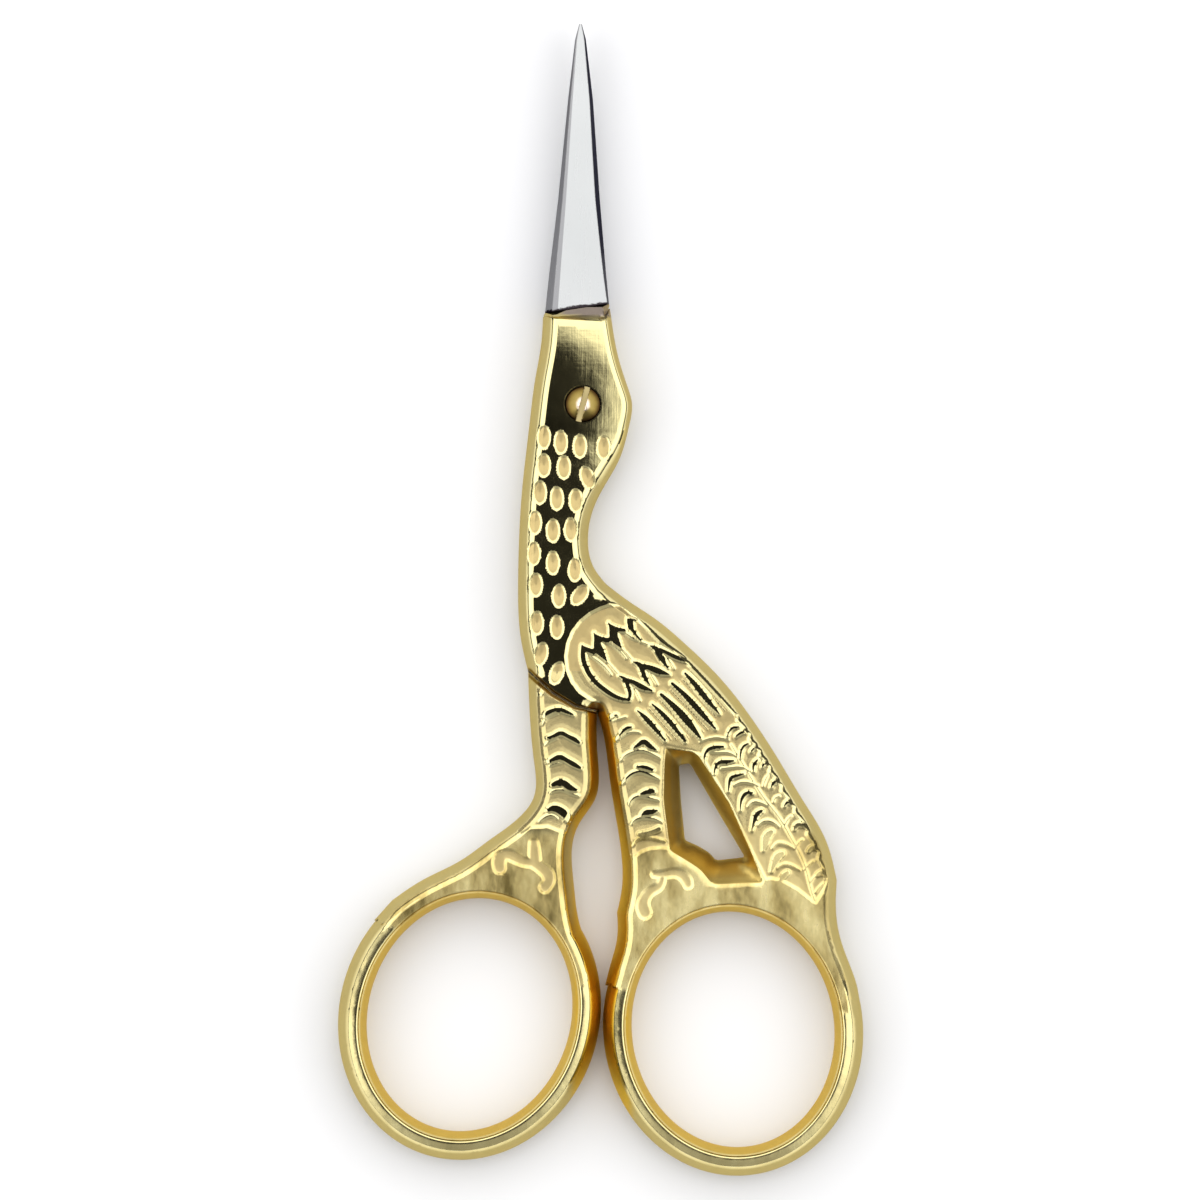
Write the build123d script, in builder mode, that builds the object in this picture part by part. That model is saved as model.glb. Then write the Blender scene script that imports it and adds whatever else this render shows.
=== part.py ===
"""Stork embroidery scissors, closed and lying flat with the blades pointing along +Y.

The object is two forged halves and the screw that they turn on. The front half carries the
upper blade, the bird's head, neck, wing and tail, the right leg and the right finger ring.
The rear half carries the lower blade, its own head and neck plate, the left leg and the left
finger ring. Head and neck are half the thickness on each half and slide on each other; legs,
body and rings have the full thickness. The origin is on the screw's axis, in the back face.
"""
from build123d import *
import os
from collections import namedtuple
from math import atan2, cos, radians, sin, sqrt

# The bird's outline, from the screw to the finger rings
FIGURE_WIDTH = 25.0  # front of the hip to the tip of the tail
FIGURE_HEIGHT = 38.7  # screw down to the top of the left finger bore
THICKNESS = 4.4  # legs, body and rings, from back face to front face
DRAFT = 0.85  # how far the forged side walls lean in by the time they reach a face
HEAD_DRAFT = 0.45  # the same on the head and the back of the neck, which are steeper
SHOULDER_DRAFT = 0.75  # the slope from the head's face down to the blade

# Gaps between the two halves
SHEAR_GAP = 0.04  # between the flat faces that slide on each other
SPLIT_GAP = 0.16  # across the hip and the chest, where one half ends at the other
REST_GAP = 0.12  # between the closed finger rings

# Finger rings
RING_BORE_WIDTH = 15.85
RING_BORE_HEIGHT = 18.5
RING_WALL = 2.27
BORE_FLARE = 0.6  # how much wider each bore is at the faces than in the middle
LEFT_RING_TILT = -18.0  # degrees, the top of the ring leaning towards the other leg
RIGHT_RING_TILT = 7.6
RIGHT_RING_DROP = 1.05  # how far the right ring sits below the left one

# Blades
BLADE_LENGTH = 22.25  # plating line to tip
BLADE_THICKNESS = 1.5
BLADE_TIP_THICKNESS = 0.55
BLADE_SPINE_DRAFT = 0.55
BLADE_BEVEL = 0.42
BLADE_EDGE_LAND = 0.12  # blunt height left under the ground bevel
BLADE_STUB = 1.2  # plated root of each blade, inside the head

# Screw
SCREW_HEAD_DIAMETER = 2.8
SCREW_HEAD_HEIGHT = 0.55
SCREW_HEAD_DOME = 0.2
SCREW_SHOULDER_DIAMETER = 1.9
SCREW_THREAD_DIAMETER = 1.6
SCREW_SLOT_WIDTH = 0.47
SCREW_SLOT_DEPTH = 0.4
SCREW_SLOT_TURN = -15.0  # degrees
SCREW_END_RECESS = 0.1
HEAD_CLEARANCE = 0.08
SHOULDER_CLEARANCE = 0.03
THREAD_CLEARANCE = 0.02

CUT_OVERRUN = 1.0

# Outlines in pixels of a 1200 by 1200 picture, x to the right and y down, at the widest level
PIVOT_PX = (583, 405)
FIGURE_WIDTH_PX = 319
FIGURE_HEIGHT_PX = 493
PLATING_LINE_PX = [(545, 313), (609, 304)]
BLADE_TIP_PX = (580, 25)
RINGS_TOUCH_PX = (602, 1012)
NECK_FRONT_PX = [
    (543, 317), (541, 345), (535, 380), (531, 410), (527, 445),
    (522, 490), (519, 540), (518, 590), (521, 640), (528, 671),
]
HIP_PX = [(528, 671), (553, 693), (575, 706), (597, 711)]
CHEST_PX = [(606, 584), (597, 711)]
HEAD_BACK_PX = [(610, 309), (613, 330), (619, 360), (628, 388), (632, 403), (629, 427), (620, 458)]
NAPE_PX = [(620, 458), (604, 487), (593, 510), (588, 538), (593, 566), (606, 584)]
BACK_PX = [
    (606, 584), (630, 602), (657, 620), (681, 640), (722, 680), (753, 720),
    (779, 760), (803, 800), (826, 840), (837, 880),
]
TAIL_PX = [(837, 880), (836, 905), (840, 936), (849, 962), (857, 985), (861, 1012)]
RIGHT_LEG_PX = [
    (597, 711), (603, 733), (608, 765), (612, 795), (618, 830), (622, 862), (622, 886), (617, 912),
]
RIGHT_ANKLE_PX = [(617, 912), (617, 938), (611, 962), (605, 985)]
LEFT_LEG_PX = [(597, 711), (597, 745), (599, 778), (596, 797), (579, 824), (572, 848), (573, 876), (576, 905)]
LEFT_ANKLE_PX = [(576, 905), (580, 925), (590, 950), (597, 970), (600, 990)]
LEFT_HEEL_PX = [
    (528, 671), (530, 720), (534, 762), (534, 796), (516, 820), (489, 840), (461, 860), (422, 880), (392, 900),
]
LEFT_SHOULDER_PX = [(392, 900), (374, 920)]
WINDOW_PX = [
    (679, 765), (690, 763), (713, 803), (745, 857), (716, 860), (709, 852), (697, 845), (685, 840), (681, 800),
]
WINDOW_FACE_PX = [
    (663, 744), (696, 751), (731, 803), (764, 882), (712, 884), (700, 869), (688, 861), (668, 849), (661, 800),
]

# Half widths of the blade, left and right of its centre line, as shares of its half width at
# the plating line, at shares of its length
BLADE_WIDTH_SHARES = [
    (0.0, 1.0, 1.0),
    (0.38, 0.63, 0.68),
    (0.735, 0.35, 0.43),
    (0.947, 0.15, 0.19),
    (1.0, 0.03, 0.06),
]

MIDDLE = THICKNESS / 2
UPPER_BASE = MIDDLE + SHEAR_GAP / 2
LOWER_BASE = MIDDLE - SHEAR_GAP / 2
SMOOTH_TURN = radians(25)  # below this two edges meet as one smooth curve

# A side wall: its insets where the halves part and at the face, and whether its edges are straight
Wall = namedtuple("Wall", "insets straight")
LEANING = Wall((0, DRAFT), False)
HEAD_SIDE = Wall((0, HEAD_DRAFT), False)
SHOULDER = Wall((0, SHOULDER_DRAFT), False)
SPLIT_LINE = Wall((SPLIT_GAP / 2, SPLIT_GAP / 2), True)
INSIDE_RING = Wall((0, 0), True)


def figure(pixel):
    """A place on the bird, in millimetres from the screw."""
    return Vector(
        (pixel[0] - PIVOT_PX[0]) * FIGURE_WIDTH / FIGURE_WIDTH_PX,
        (PIVOT_PX[1] - pixel[1]) * FIGURE_HEIGHT / FIGURE_HEIGHT_PX,
    )


def inwards(start, end):
    """The unit normal on the left of an edge, which is the inside of an anticlockwise outline."""
    edge = (end - start).normalized()
    return Vector(-edge.Y, edge.X)


def inset_corner(before, point, after, inset_before, inset_after):
    """Where a corner goes when its two edges move inwards, each by its own inset."""
    first, second = inwards(before, point), inwards(point, after)
    turn = atan2(first.cross(second).Z, first.dot(second))
    if abs(turn) < SMOOTH_TURN:
        return point + (first + second).normalized() * (inset_before + inset_after) / 2
    along_first = (inset_after - inset_before * cos(turn)) / sin(turn)
    return point + first * inset_before + Vector(-first.Y, first.X) * along_first


def inset_outline(stretches, level):
    """The stretches of a closed outline, each moved inwards by its inset at one level."""
    corners = [figure(pixel) for pixels, _ in stretches for pixel in pixels[:-1]]
    insets = [wall.insets[level] for pixels, wall in stretches for _ in pixels[:-1]]
    moved = [
        inset_corner(corners[i - 1], corners[i], corners[(i + 1) % len(corners)], insets[i - 1], insets[i])
        for i in range(len(corners))
    ]
    outline, start = [], 0
    for pixels, _ in stretches:
        end = start + len(pixels) - 1
        outline.append(moved[start:end] + [moved[end % len(moved)]])
        start = end
    return outline


def half_form(stretches, base, face):
    """A half of a forging: its outline at the parting level, leaning in to its outline at a face."""
    with BuildPart() as half:
        for level, height in enumerate((base, face)):
            with BuildSketch(Plane.XY.offset(height)):
                with BuildLine():
                    for points, (_, wall) in zip(inset_outline(stretches, level), stretches):
                        Polyline(*points) if wall.straight else Spline(*points)
                make_face()
        loft(ruled=True)
    return half.part


def other_half_room(split_line, base, face):
    """What the other half takes of a half's thinner side: all that lies above a split line, which
    runs with the kept body on its left, and half the gap."""
    line = [figure(pixel) for pixel in split_line]
    across = [inwards(start, end) * SPLIT_GAP / 2 for start, end in zip(line, line[1:])]
    moved = [point + shift for point, shift in zip(line, across + across[-1:])]
    top = figure(HEAD_BACK_PX[0]).Y + CUT_OVERRUN
    with BuildPart() as room:
        with BuildSketch(Plane.XY.offset(base)):
            with BuildLine():
                Polyline(
                    *moved,
                    (-FIGURE_WIDTH, moved[-1].Y),
                    (-FIGURE_WIDTH, top),
                    (FIGURE_WIDTH, top),
                    (FIGURE_WIDTH, moved[0].Y),
                    close=True,
                )
            make_face()
        extrude(amount=face - base)
    return room.part


def ring_extent(along, across, tilt):
    """How far a tilted ellipse reaches from its centre, in the direction of its first half axis."""
    turn = radians(tilt)
    return sqrt((along * cos(turn)) ** 2 + (across * sin(turn)) ** 2)


def ring_centre(side, tilt, drop):
    """The rings touch each other on the parting line, and their bores start where the feet end."""
    half_width, half_height = RING_BORE_WIDTH / 2, RING_BORE_HEIGHT / 2
    reach = ring_extent(half_width + RING_WALL, half_height + RING_WALL, tilt)
    return (
        figure(RINGS_TOUCH_PX).X + side * (reach + REST_GAP / 2),
        -FIGURE_HEIGHT - drop - ring_extent(half_height, half_width, tilt),
    )


def ring_form(centre, tilt, growth, levels):
    """An elliptical solid with the bore's shape, grown by one value at each of its two levels."""
    with BuildPart() as form:
        for height, grown in zip(levels, growth):
            with BuildSketch(Plane.XY.offset(height)):
                with Locations(centre):
                    Ellipse(RING_BORE_WIDTH / 2 + grown, RING_BORE_HEIGHT / 2 + grown, rotation=tilt)
        loft(ruled=True)
    return form.part


def finger_ring(centre, tilt):
    """A ring whose outer wall leans in from the middle to both faces, before it is bored."""
    growth = (RING_WALL, RING_WALL - DRAFT)
    upper = ring_form(centre, tilt, growth, (MIDDLE, THICKNESS))
    lower = ring_form(centre, tilt, growth, (MIDDLE, 0))
    return [upper, lower]


def finger_bore(centre, tilt):
    """The bore, narrowest in the middle and flared towards both faces."""
    overrun_flare = BORE_FLARE * (MIDDLE + CUT_OVERRUN) / MIDDLE
    growth = (0, overrun_flare)
    upper = ring_form(centre, tilt, growth, (MIDDLE, THICKNESS + CUT_OVERRUN))
    lower = ring_form(centre, tilt, growth, (MIDDLE, -CUT_OVERRUN))
    return [upper, lower]


def window_cut(face, overrun_face):
    """One half of the opening between leg and tail, wider at the face than in the middle."""
    reach = abs(overrun_face - MIDDLE) / abs(face - MIDDLE)
    with BuildPart() as cut:
        for height, share in ((MIDDLE, 0), (overrun_face, reach)):
            with BuildSketch(Plane.XY.offset(height)):
                corners = [
                    figure(hole) + (figure(rim) - figure(hole)) * share
                    for hole, rim in zip(WINDOW_PX, WINDOW_FACE_PX)
                ]
                with BuildLine():
                    Polyline(*corners, close=True)
                make_face()
        loft(ruled=True)
    return cut.part


def blade_bar(cutting_side):
    """A blade and its root: flat underneath, a spine on one side and a ground bevel on the other."""
    left, right = (figure(pixel) for pixel in PLATING_LINE_PX)
    root = (left + right) / 2
    half_width = (right.X - left.X) / 2
    tip_x = figure(BLADE_TIP_PX).X
    rise = cutting_side  # the front half's blade lies above the sliding face, the rear one below
    base = UPPER_BASE if rise > 0 else LOWER_BASE
    stations = [(-BLADE_STUB / BLADE_LENGTH, 1.0, 1.0)] + BLADE_WIDTH_SHARES
    with BuildPart() as bar:
        for along, left_share, right_share in stations:
            middle_x = root.X + (tip_x - root.X) * max(along, 0)
            thick = BLADE_THICKNESS + (BLADE_TIP_THICKNESS - BLADE_THICKNESS) * max(along, 0)
            spine_share, edge_share = (left_share, right_share) if rise > 0 else (right_share, left_share)
            spine_x = middle_x - cutting_side * half_width * spine_share
            edge_x = middle_x + cutting_side * half_width * edge_share
            with BuildSketch(Plane.XZ.offset(-root.Y - along * BLADE_LENGTH)):
                with BuildLine():
                    Polyline(
                        (spine_x, base),
                        (edge_x, base),
                        (edge_x, base + rise * BLADE_EDGE_LAND),
                        (edge_x - cutting_side * BLADE_BEVEL * edge_share, base + rise * thick),
                        (spine_x + cutting_side * BLADE_SPINE_DRAFT * spine_share, base + rise * thick),
                        close=True,
                    )
                make_face()
        loft(ruled=True)
    return bar.part


head_top_px = [HEAD_BACK_PX[0], NECK_FRONT_PX[0]]
right_ring_closing_px = [RIGHT_ANKLE_PX[-1], TAIL_PX[-1]]
left_ring_closing_px = [LEFT_SHOULDER_PX[-1], LEFT_ANKLE_PX[-1]]

# Anticlockwise outlines, as stretches that each end where the next one starts
right_side_of_body = [
    (RIGHT_LEG_PX, LEANING),
    (RIGHT_ANKLE_PX, LEANING),
    (right_ring_closing_px, INSIDE_RING),
    (TAIL_PX[::-1], LEANING),
    (BACK_PX[::-1], LEANING),
]
left_leg_sides = [
    (LEFT_HEEL_PX, LEANING),
    (LEFT_SHOULDER_PX, LEANING),
    (left_ring_closing_px, INSIDE_RING),
    (LEFT_ANKLE_PX[::-1], LEANING),
    (LEFT_LEG_PX[::-1], LEANING),
]
head_and_nape = [(NAPE_PX[::-1], LEANING), (HEAD_BACK_PX[::-1], HEAD_SIDE), (head_top_px, SHOULDER)]
front_outline = [(NECK_FRONT_PX, LEANING), (HIP_PX, SPLIT_LINE)] + right_side_of_body + head_and_nape
rear_outline = [(NECK_FRONT_PX, LEANING)] + left_leg_sides + [(CHEST_PX[::-1], SPLIT_LINE)] + head_and_nape

# Plating line, which every blade and handle is parted along
plating_left, plating_right = (figure(pixel) for pixel in PLATING_LINE_PX)
plating_plane = Plane(
    origin=(plating_left + plating_right) / 2,
    x_dir=plating_right - plating_left,
    z_dir=inwards(plating_left, plating_right),
)

left_ring = ring_centre(-1, LEFT_RING_TILT, 0), LEFT_RING_TILT
right_ring = ring_centre(1, RIGHT_RING_TILT, RIGHT_RING_DROP), RIGHT_RING_TILT

# Front half, bare steel blade
front_bar = blade_bar(1)
with BuildPart() as front_blade:
    add(front_bar)
    split(bisect_by=plating_plane, keep=Keep.TOP)
front_blade.part.label = "front_blade"

# Front half, plated head, neck, body, tail, right leg and right ring
with BuildPart() as front_root:
    add(front_bar)
    split(bisect_by=plating_plane, keep=Keep.BOTTOM)

with BuildPart() as front_handle:
    add(half_form(front_outline, UPPER_BASE, 0))
    add(other_half_room(CHEST_PX, UPPER_BASE, -CUT_OVERRUN), mode=Mode.SUBTRACT)
    add(half_form(front_outline, UPPER_BASE, THICKNESS))
    add(finger_ring(*right_ring))
    add(front_root.part)
    add(finger_bore(*right_ring), mode=Mode.SUBTRACT)
    add(window_cut(THICKNESS, THICKNESS + CUT_OVERRUN), mode=Mode.SUBTRACT)
    add(window_cut(0, -CUT_OVERRUN), mode=Mode.SUBTRACT)
    with Locations((0, 0, THICKNESS)):
        CounterBoreHole(
            radius=SCREW_SHOULDER_DIAMETER / 2 + SHOULDER_CLEARANCE,
            counter_bore_radius=SCREW_HEAD_DIAMETER / 2 + HEAD_CLEARANCE,
            counter_bore_depth=SCREW_HEAD_HEIGHT,
            depth=THICKNESS,
        )
front_handle.part.label = "front_handle"

# Rear half, bare steel blade
rear_bar = blade_bar(-1)
with BuildPart() as rear_blade:
    add(rear_bar)
    split(bisect_by=plating_plane, keep=Keep.TOP)
rear_blade.part.label = "rear_blade"

# Rear half, plated head and neck plate, left leg and left ring
with BuildPart() as rear_root:
    add(rear_bar)
    split(bisect_by=plating_plane, keep=Keep.BOTTOM)

with BuildPart() as rear_handle:
    add(half_form(rear_outline, LOWER_BASE, THICKNESS))
    add(other_half_room(HIP_PX[::-1], LOWER_BASE, THICKNESS + CUT_OVERRUN), mode=Mode.SUBTRACT)
    add(half_form(rear_outline, LOWER_BASE, 0))
    add(finger_ring(*left_ring))
    add(rear_root.part)
    add(finger_bore(*left_ring), mode=Mode.SUBTRACT)
    with Locations((0, 0, LOWER_BASE)):
        Hole(radius=SCREW_THREAD_DIAMETER / 2 + THREAD_CLEARANCE, depth=THICKNESS)
rear_handle.part.label = "rear_handle"

# Screw: slotted domed head, shoulder that the front half turns on, threaded end in the rear half
head_radius = SCREW_HEAD_DIAMETER / 2
head_floor = THICKNESS - SCREW_HEAD_HEIGHT
head_top = THICKNESS + SCREW_HEAD_DOME
with BuildPart() as pivot_screw:
    with BuildSketch(Plane.XZ):
        with BuildLine():
            Polyline(
                (0, SCREW_END_RECESS),
                (SCREW_THREAD_DIAMETER / 2, SCREW_END_RECESS),
                (SCREW_THREAD_DIAMETER / 2, LOWER_BASE),
                (SCREW_SHOULDER_DIAMETER / 2, LOWER_BASE),
                (SCREW_SHOULDER_DIAMETER / 2, head_floor),
                (head_radius, head_floor),
                (head_radius, THICKNESS - SCREW_HEAD_DOME),
            )
            dome = SagittaArc(
                (head_radius, THICKNESS - SCREW_HEAD_DOME),
                (-head_radius, THICKNESS - SCREW_HEAD_DOME),
                -2 * SCREW_HEAD_DOME,
                mode=Mode.PRIVATE,
            )
            ThreePointArc(dome @ 0, dome @ 0.25, dome @ 0.5)
            Line(dome @ 0.5, (0, SCREW_END_RECESS))
        make_face()
    revolve(axis=Axis.Z)
    with BuildSketch(Plane.XY.offset(head_top - SCREW_SLOT_DEPTH)):
        Rectangle(SCREW_SLOT_WIDTH, SCREW_HEAD_DIAMETER + CUT_OVERRUN, rotation=SCREW_SLOT_TURN)
    extrude(amount=SCREW_SLOT_DEPTH + CUT_OVERRUN, mode=Mode.SUBTRACT)
pivot_screw.part.label = "pivot_screw"

os.makedirs("parts", exist_ok=True)
for piece in (front_blade, front_handle, rear_blade, rear_handle, pivot_screw):
    export_step(piece.part, f"parts/{piece.part.label}.step")
    print(piece.part.label, len(piece.part.solids()), round(piece.part.volume, 1), piece.part.bounding_box())
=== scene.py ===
from collections import namedtuple
from math import cos, hypot, pi, radians, sin, sqrt

import bmesh
import bpy
import numpy as np
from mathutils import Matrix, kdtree
from mathutils.geometry import delaunay_2d_cdt


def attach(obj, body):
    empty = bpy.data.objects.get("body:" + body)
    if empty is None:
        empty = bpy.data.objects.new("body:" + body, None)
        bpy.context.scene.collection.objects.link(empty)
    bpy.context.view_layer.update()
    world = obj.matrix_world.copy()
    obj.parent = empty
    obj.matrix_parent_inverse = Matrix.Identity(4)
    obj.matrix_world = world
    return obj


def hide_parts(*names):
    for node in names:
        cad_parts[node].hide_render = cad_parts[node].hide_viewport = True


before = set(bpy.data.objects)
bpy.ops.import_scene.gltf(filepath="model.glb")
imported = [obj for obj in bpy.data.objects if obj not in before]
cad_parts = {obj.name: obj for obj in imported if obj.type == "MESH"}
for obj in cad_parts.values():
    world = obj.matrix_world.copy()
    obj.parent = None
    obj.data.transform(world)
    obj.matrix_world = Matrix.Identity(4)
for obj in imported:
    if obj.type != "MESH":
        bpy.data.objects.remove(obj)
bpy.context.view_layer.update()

# Sizes in millimetres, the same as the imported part's
MM = 0.001
FIGURE_WIDTH = 25.0
FIGURE_HEIGHT = 38.7
THICKNESS = 4.4
DRAFT = 0.85
HEAD_DRAFT = 0.45
SHEAR_GAP = 0.04
SPLIT_GAP = 0.16
REST_GAP = 0.12
RING_BORE_WIDTH = 15.85
RING_BORE_HEIGHT = 18.5
RING_WALL = 2.27
BORE_FLARE = 0.6
LEFT_RING_TILT = -18.0
RIGHT_RING_TILT = 7.6
RIGHT_RING_DROP = 1.05
BLADE_LENGTH = 22.25
BLADE_THICKNESS = 1.5
BLADE_TIP_THICKNESS = 0.55
BLADE_SPINE_DRAFT = 0.55
BLADE_BEVEL = 0.42
BLADE_EDGE_LAND = 0.12
SCREW_HEAD_DIAMETER = 2.8
SCREW_HEAD_HEIGHT = 0.55
SCREW_HEAD_DOME = 0.2
SCREW_SHOULDER_DIAMETER = 1.9
SCREW_THREAD_DIAMETER = 1.6
SCREW_SLOT_WIDTH = 0.47
SCREW_SLOT_DEPTH = 0.4
SCREW_SLOT_TURN = -15.0
SCREW_END_RECESS = 0.1
HEAD_CLEARANCE = 0.08
SHOULDER_CLEARANCE = 0.03
THREAD_CLEARANCE = 0.02
ROOT_LENGTH = 1.2  # plated root of each blade, inside the head

MIDDLE = THICKNESS / 2
UPPER_BASE = MIDDLE + SHEAR_GAP / 2
LOWER_BASE = MIDDLE - SHEAR_GAP / 2
HEAD_HOLE = SCREW_HEAD_DIAMETER / 2 + HEAD_CLEARANCE

# Outlines in pixels of the 1200 by 1200 picture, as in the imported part
PICTURE_PX = 1200
PIVOT_PX = (583, 405)
FIGURE_WIDTH_PX = 319
FIGURE_HEIGHT_PX = 493
PLATING_LINE_PX = [(545, 313), (609, 304)]
BLADE_TIP_PX = (580, 25)
RINGS_TOUCH_PX = (602, 1012)
NECK_FRONT_PX = [
    (543, 317), (541, 345), (535, 380), (531, 410), (527, 445),
    (522, 490), (519, 540), (518, 590), (521, 640), (528, 671),
]
HIP_PX = [(528, 671), (553, 693), (575, 706), (597, 711)]
CHEST_PX = [(606, 584), (597, 711)]
HEAD_BACK_PX = [(610, 309), (613, 330), (619, 360), (628, 388), (632, 403), (629, 427), (620, 458)]
NAPE_PX = [(620, 458), (604, 487), (593, 510), (588, 538), (593, 566), (606, 584)]
BACK_PX = [
    (606, 584), (630, 602), (657, 620), (681, 640), (722, 680), (753, 720),
    (779, 760), (803, 800), (826, 840), (837, 880),
]
TAIL_PX = [(837, 880), (836, 905), (840, 936), (849, 962), (857, 985), (861, 1012)]
RIGHT_LEG_PX = [
    (597, 711), (603, 733), (608, 765), (612, 795), (618, 830), (622, 862), (622, 886), (617, 912),
]
RIGHT_ANKLE_PX = [(617, 912), (617, 938), (611, 962), (605, 985)]
LEFT_LEG_PX = [(597, 711), (597, 745), (599, 778), (596, 797), (579, 824), (572, 848), (573, 876), (576, 905)]
LEFT_ANKLE_PX = [(576, 905), (580, 925), (590, 950), (597, 970), (600, 990)]
LEFT_HEEL_PX = [
    (528, 671), (530, 720), (534, 762), (534, 796), (516, 820), (489, 840), (461, 860), (422, 880),
    (392, 900),
]
LEFT_SHOULDER_PX = [(392, 900), (374, 920)]
WINDOW_PX = [
    (679, 765), (690, 763), (713, 803), (745, 857), (716, 860), (709, 852), (697, 845), (685, 840),
    (681, 800),
]
WINDOW_FACE_PX = [
    (663, 744), (696, 751), (731, 803), (764, 882), (712, 884), (700, 869), (688, 861), (668, 849),
    (661, 800),
]
BLADE_WIDTH_SHARES = [
    (0.0, 1.0, 1.0),
    (0.38, 0.63, 0.68),
    (0.735, 0.35, 0.43),
    (0.947, 0.15, 0.19),
    (1.0, 0.03, 0.06),
]

# How the forged surface is finished
WALL_SWELL = 0.3  # share of a wall's height that follows a quarter circle
RIM_WIDTH = 0.34
RIM_FALL = 0.11
EDGE_CUT = 0.06  # what a fine chamfer takes off the outer edge of a rim
CHAMFER_SLOPE = 0.87
SHOULDER_RIM_WIDTH = 0.16
SHOULDER_RIM_FALL = 0.05
BACK_RIM_WIDTH = 0.22
BACK_RIM_FALL = 0.0
BACK_EDGE_CUT = 0.16
SHOULDER_PX = [[HEAD_BACK_PX[0], NECK_FRONT_PX[0]], [(610, 323.5), (543, 319.4)]]  # its foot, its top
SPLIT_RIM_WIDTH = 0.27  # at the left, where it is widest
SPLIT_RIM_SHARE = 0.6  # of that, at the right
SPLIT_RIM_SLOPE = 0.9
LIP = 0.012  # how far an upright wall leans
SPLIT_FOOT = 1.5 * LIP  # places nearer than this to a split are on its upright wall
SPLIT_BLEND, BORE_BLEND, WALL_BLEND = 0.05, 0.1, 0.03  # how far finishes run into each other
WINDOW_RIM_WIDTH = 0.14
WINDOW_RIM_FALL = 0.04
RING_RIM_WIDTH = 0.50
RING_RIM_FALL = 0.036
RING_CAST = 0.74
BORE_SHADE = 0.6
WINDOW_SHADE = 0.5
BORE_RIM_WIDTH = 0.14
BORE_RIM_FALL = 0.04
HEAD_CROWN = 0.00375  # fall of the head's face per square millimetre
CROWN_MIDDLE_PX = (548, 372)
CROWN_FADE_PX = (432, 640)
CROWN_REACH_PX = 60  # below its middle
CAST_NECK_PX = (420, 470)  # down the figure, where its faces get less smooth
CAST_FEET_PX = (808, 840)
CAST_BODY, CAST_FEET = 0.45, 0.55
MATT_AND_SHADE_SHARES = (0.68, 0.8)  # of the carving's depth, where it turns satin and is painted darker as shade
# How satin the carved floors are, and how far they are painted darker as shade: in the wing, lost towards the
# tail, in the toes and legs, and on the flat that slides on the other half
WING_MATT_AND_SHADE, TAIL_MATT_AND_SHADE_LOSS, TOE_MATT_AND_SHADE, LEG_MATT_AND_SHADE = 0.9, 0.25, 0.8, 0.65
SLIDING_MATT_AND_SHADE = 0.4
FACING_PX = (24, 34)  # how far from the line between the rings walls face each other, where they are painted deep orange as reflection
SHOULDER_STAIN = (-0.35, -0.5)
WINDOW_LEFT_PX = 681
WINDOW_SHADE_SHARES = (0.42, 0.58)
HEAD_WALL_PX = (432, 476)  # down the back of the head, where the wall turns from steep to leaning

BLADE_OVERLAP = 0.03  # how far the ground blade runs into its plated root
BLADE_ARRIS = 0.03  # chamfer along the blade's edges
ARRIS_LEAN_SHARE = 0.4  # of an arris, how much of it lies beyond the edge
ARRIS_LIMIT_SHARE = 0.3  # of the face between its two edges, the most that an arris may take
BLADE_GROUND_SHARES = [(0, 0.35), (0.12, 0.6), (0.4, 1.3), (1, 1.7)]  # width of the bevel along the blade
PLATING_SLANT_FADE = 8  # the slant of the plating line is gone at one part in this of the blade's length
SCREW_EDGE = 0.085
SCREW_EDGE_SLOPE = 1.3
SLOT_EDGE, SLOT_EDGE_FALL = 0.05, 0.03
SCREW_END_CHAMFER = 0.06
SCREW_END_DOME = 0.02
RING_INSET = 0.01  # keeps the rings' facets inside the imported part's
CORNER_RADIUS, CORNER_GROWTH = 0.25, 0.2  # of the window, and how much wider at the face
ROOT_STRIP_PX = [(609.4, 306), (609, 304), (545, 313), (543.4, 316), (548, 322), (606, 315)]

# How fine the meshes are
FINE = 0.16  # between points of an outline
REACH = 1.6  # how far from a line distances are worked out
STEP = 0.30  # between points of plain faces
CARVED_STEP = 0.076  # of carved faces that look up
HIDDEN_STEP = 0.15  # of carved faces that look down
MERGE = 0.0004  # points nearer than this become one
STROKE_REACH_PX = 12
FIELD_STEP_PX, STROKE_STEP_PX = 1.5, 2.0  # between points of a field's outline, and of a stroke
RING_POINTS, BORE_POINTS, BORE_EDGE_POINTS = 210, 190, 180  # round a ring, its bore's wall and its bore
NEAR_POINTS = 720  # round a ring where distances from it are worked out
OVAL_POINTS, SCREW_POINTS = 28, 96
CORNER_POINTS, CORNER_LIMIT = 5, 2.2  # in a rounded corner, and what part of a side it may take
BLADE_ROWS = 90
BLADE_CREASE, SCREW_CREASE = 12, 25  # degrees, above which an edge stays sharp
HEAD_SHARES = (0.9, 0.82, 0.7, 0.5, 0.3)  # where across the screw's head its mesh has rings
HEAD_RIM_SHARE = 0.97  # the outermost of them
SLOT_REACH_SHARE = 0.9985  # of the way to the rim, how far the slot's lines run
SLOT_STEP, HEAD_STEP, HEAD_GAP = 0.1, 0.09, 0.04  # between points of the slot and of the head
WALL_SHARES = (0.04, 0.15, 0.38, 0.7)  # where across a wall the mesh has lines
SHOULDER_SHARES = WALL_SHARES + (0.97, 1, 1.12)  # the same for the slope down to the blade
RIM_MARGIN = 0.05  # from a rim to the mesh's last line beside it
WINDOW_SHARES = (0, 0.04, 0.14, 0.35, 0.65, 0.965, 1)  # the same for the window's wall

# Floor, sky and camera
FLOOR_HALF = 700.0
DARK_MIDDLE, DARK_HALF = (-0.04, -0.01), (0.11, 0.095)  # of the dark ellipse in the sky
CAMERA_HEIGHT = 600.0
SENSOR = 36.0

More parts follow.
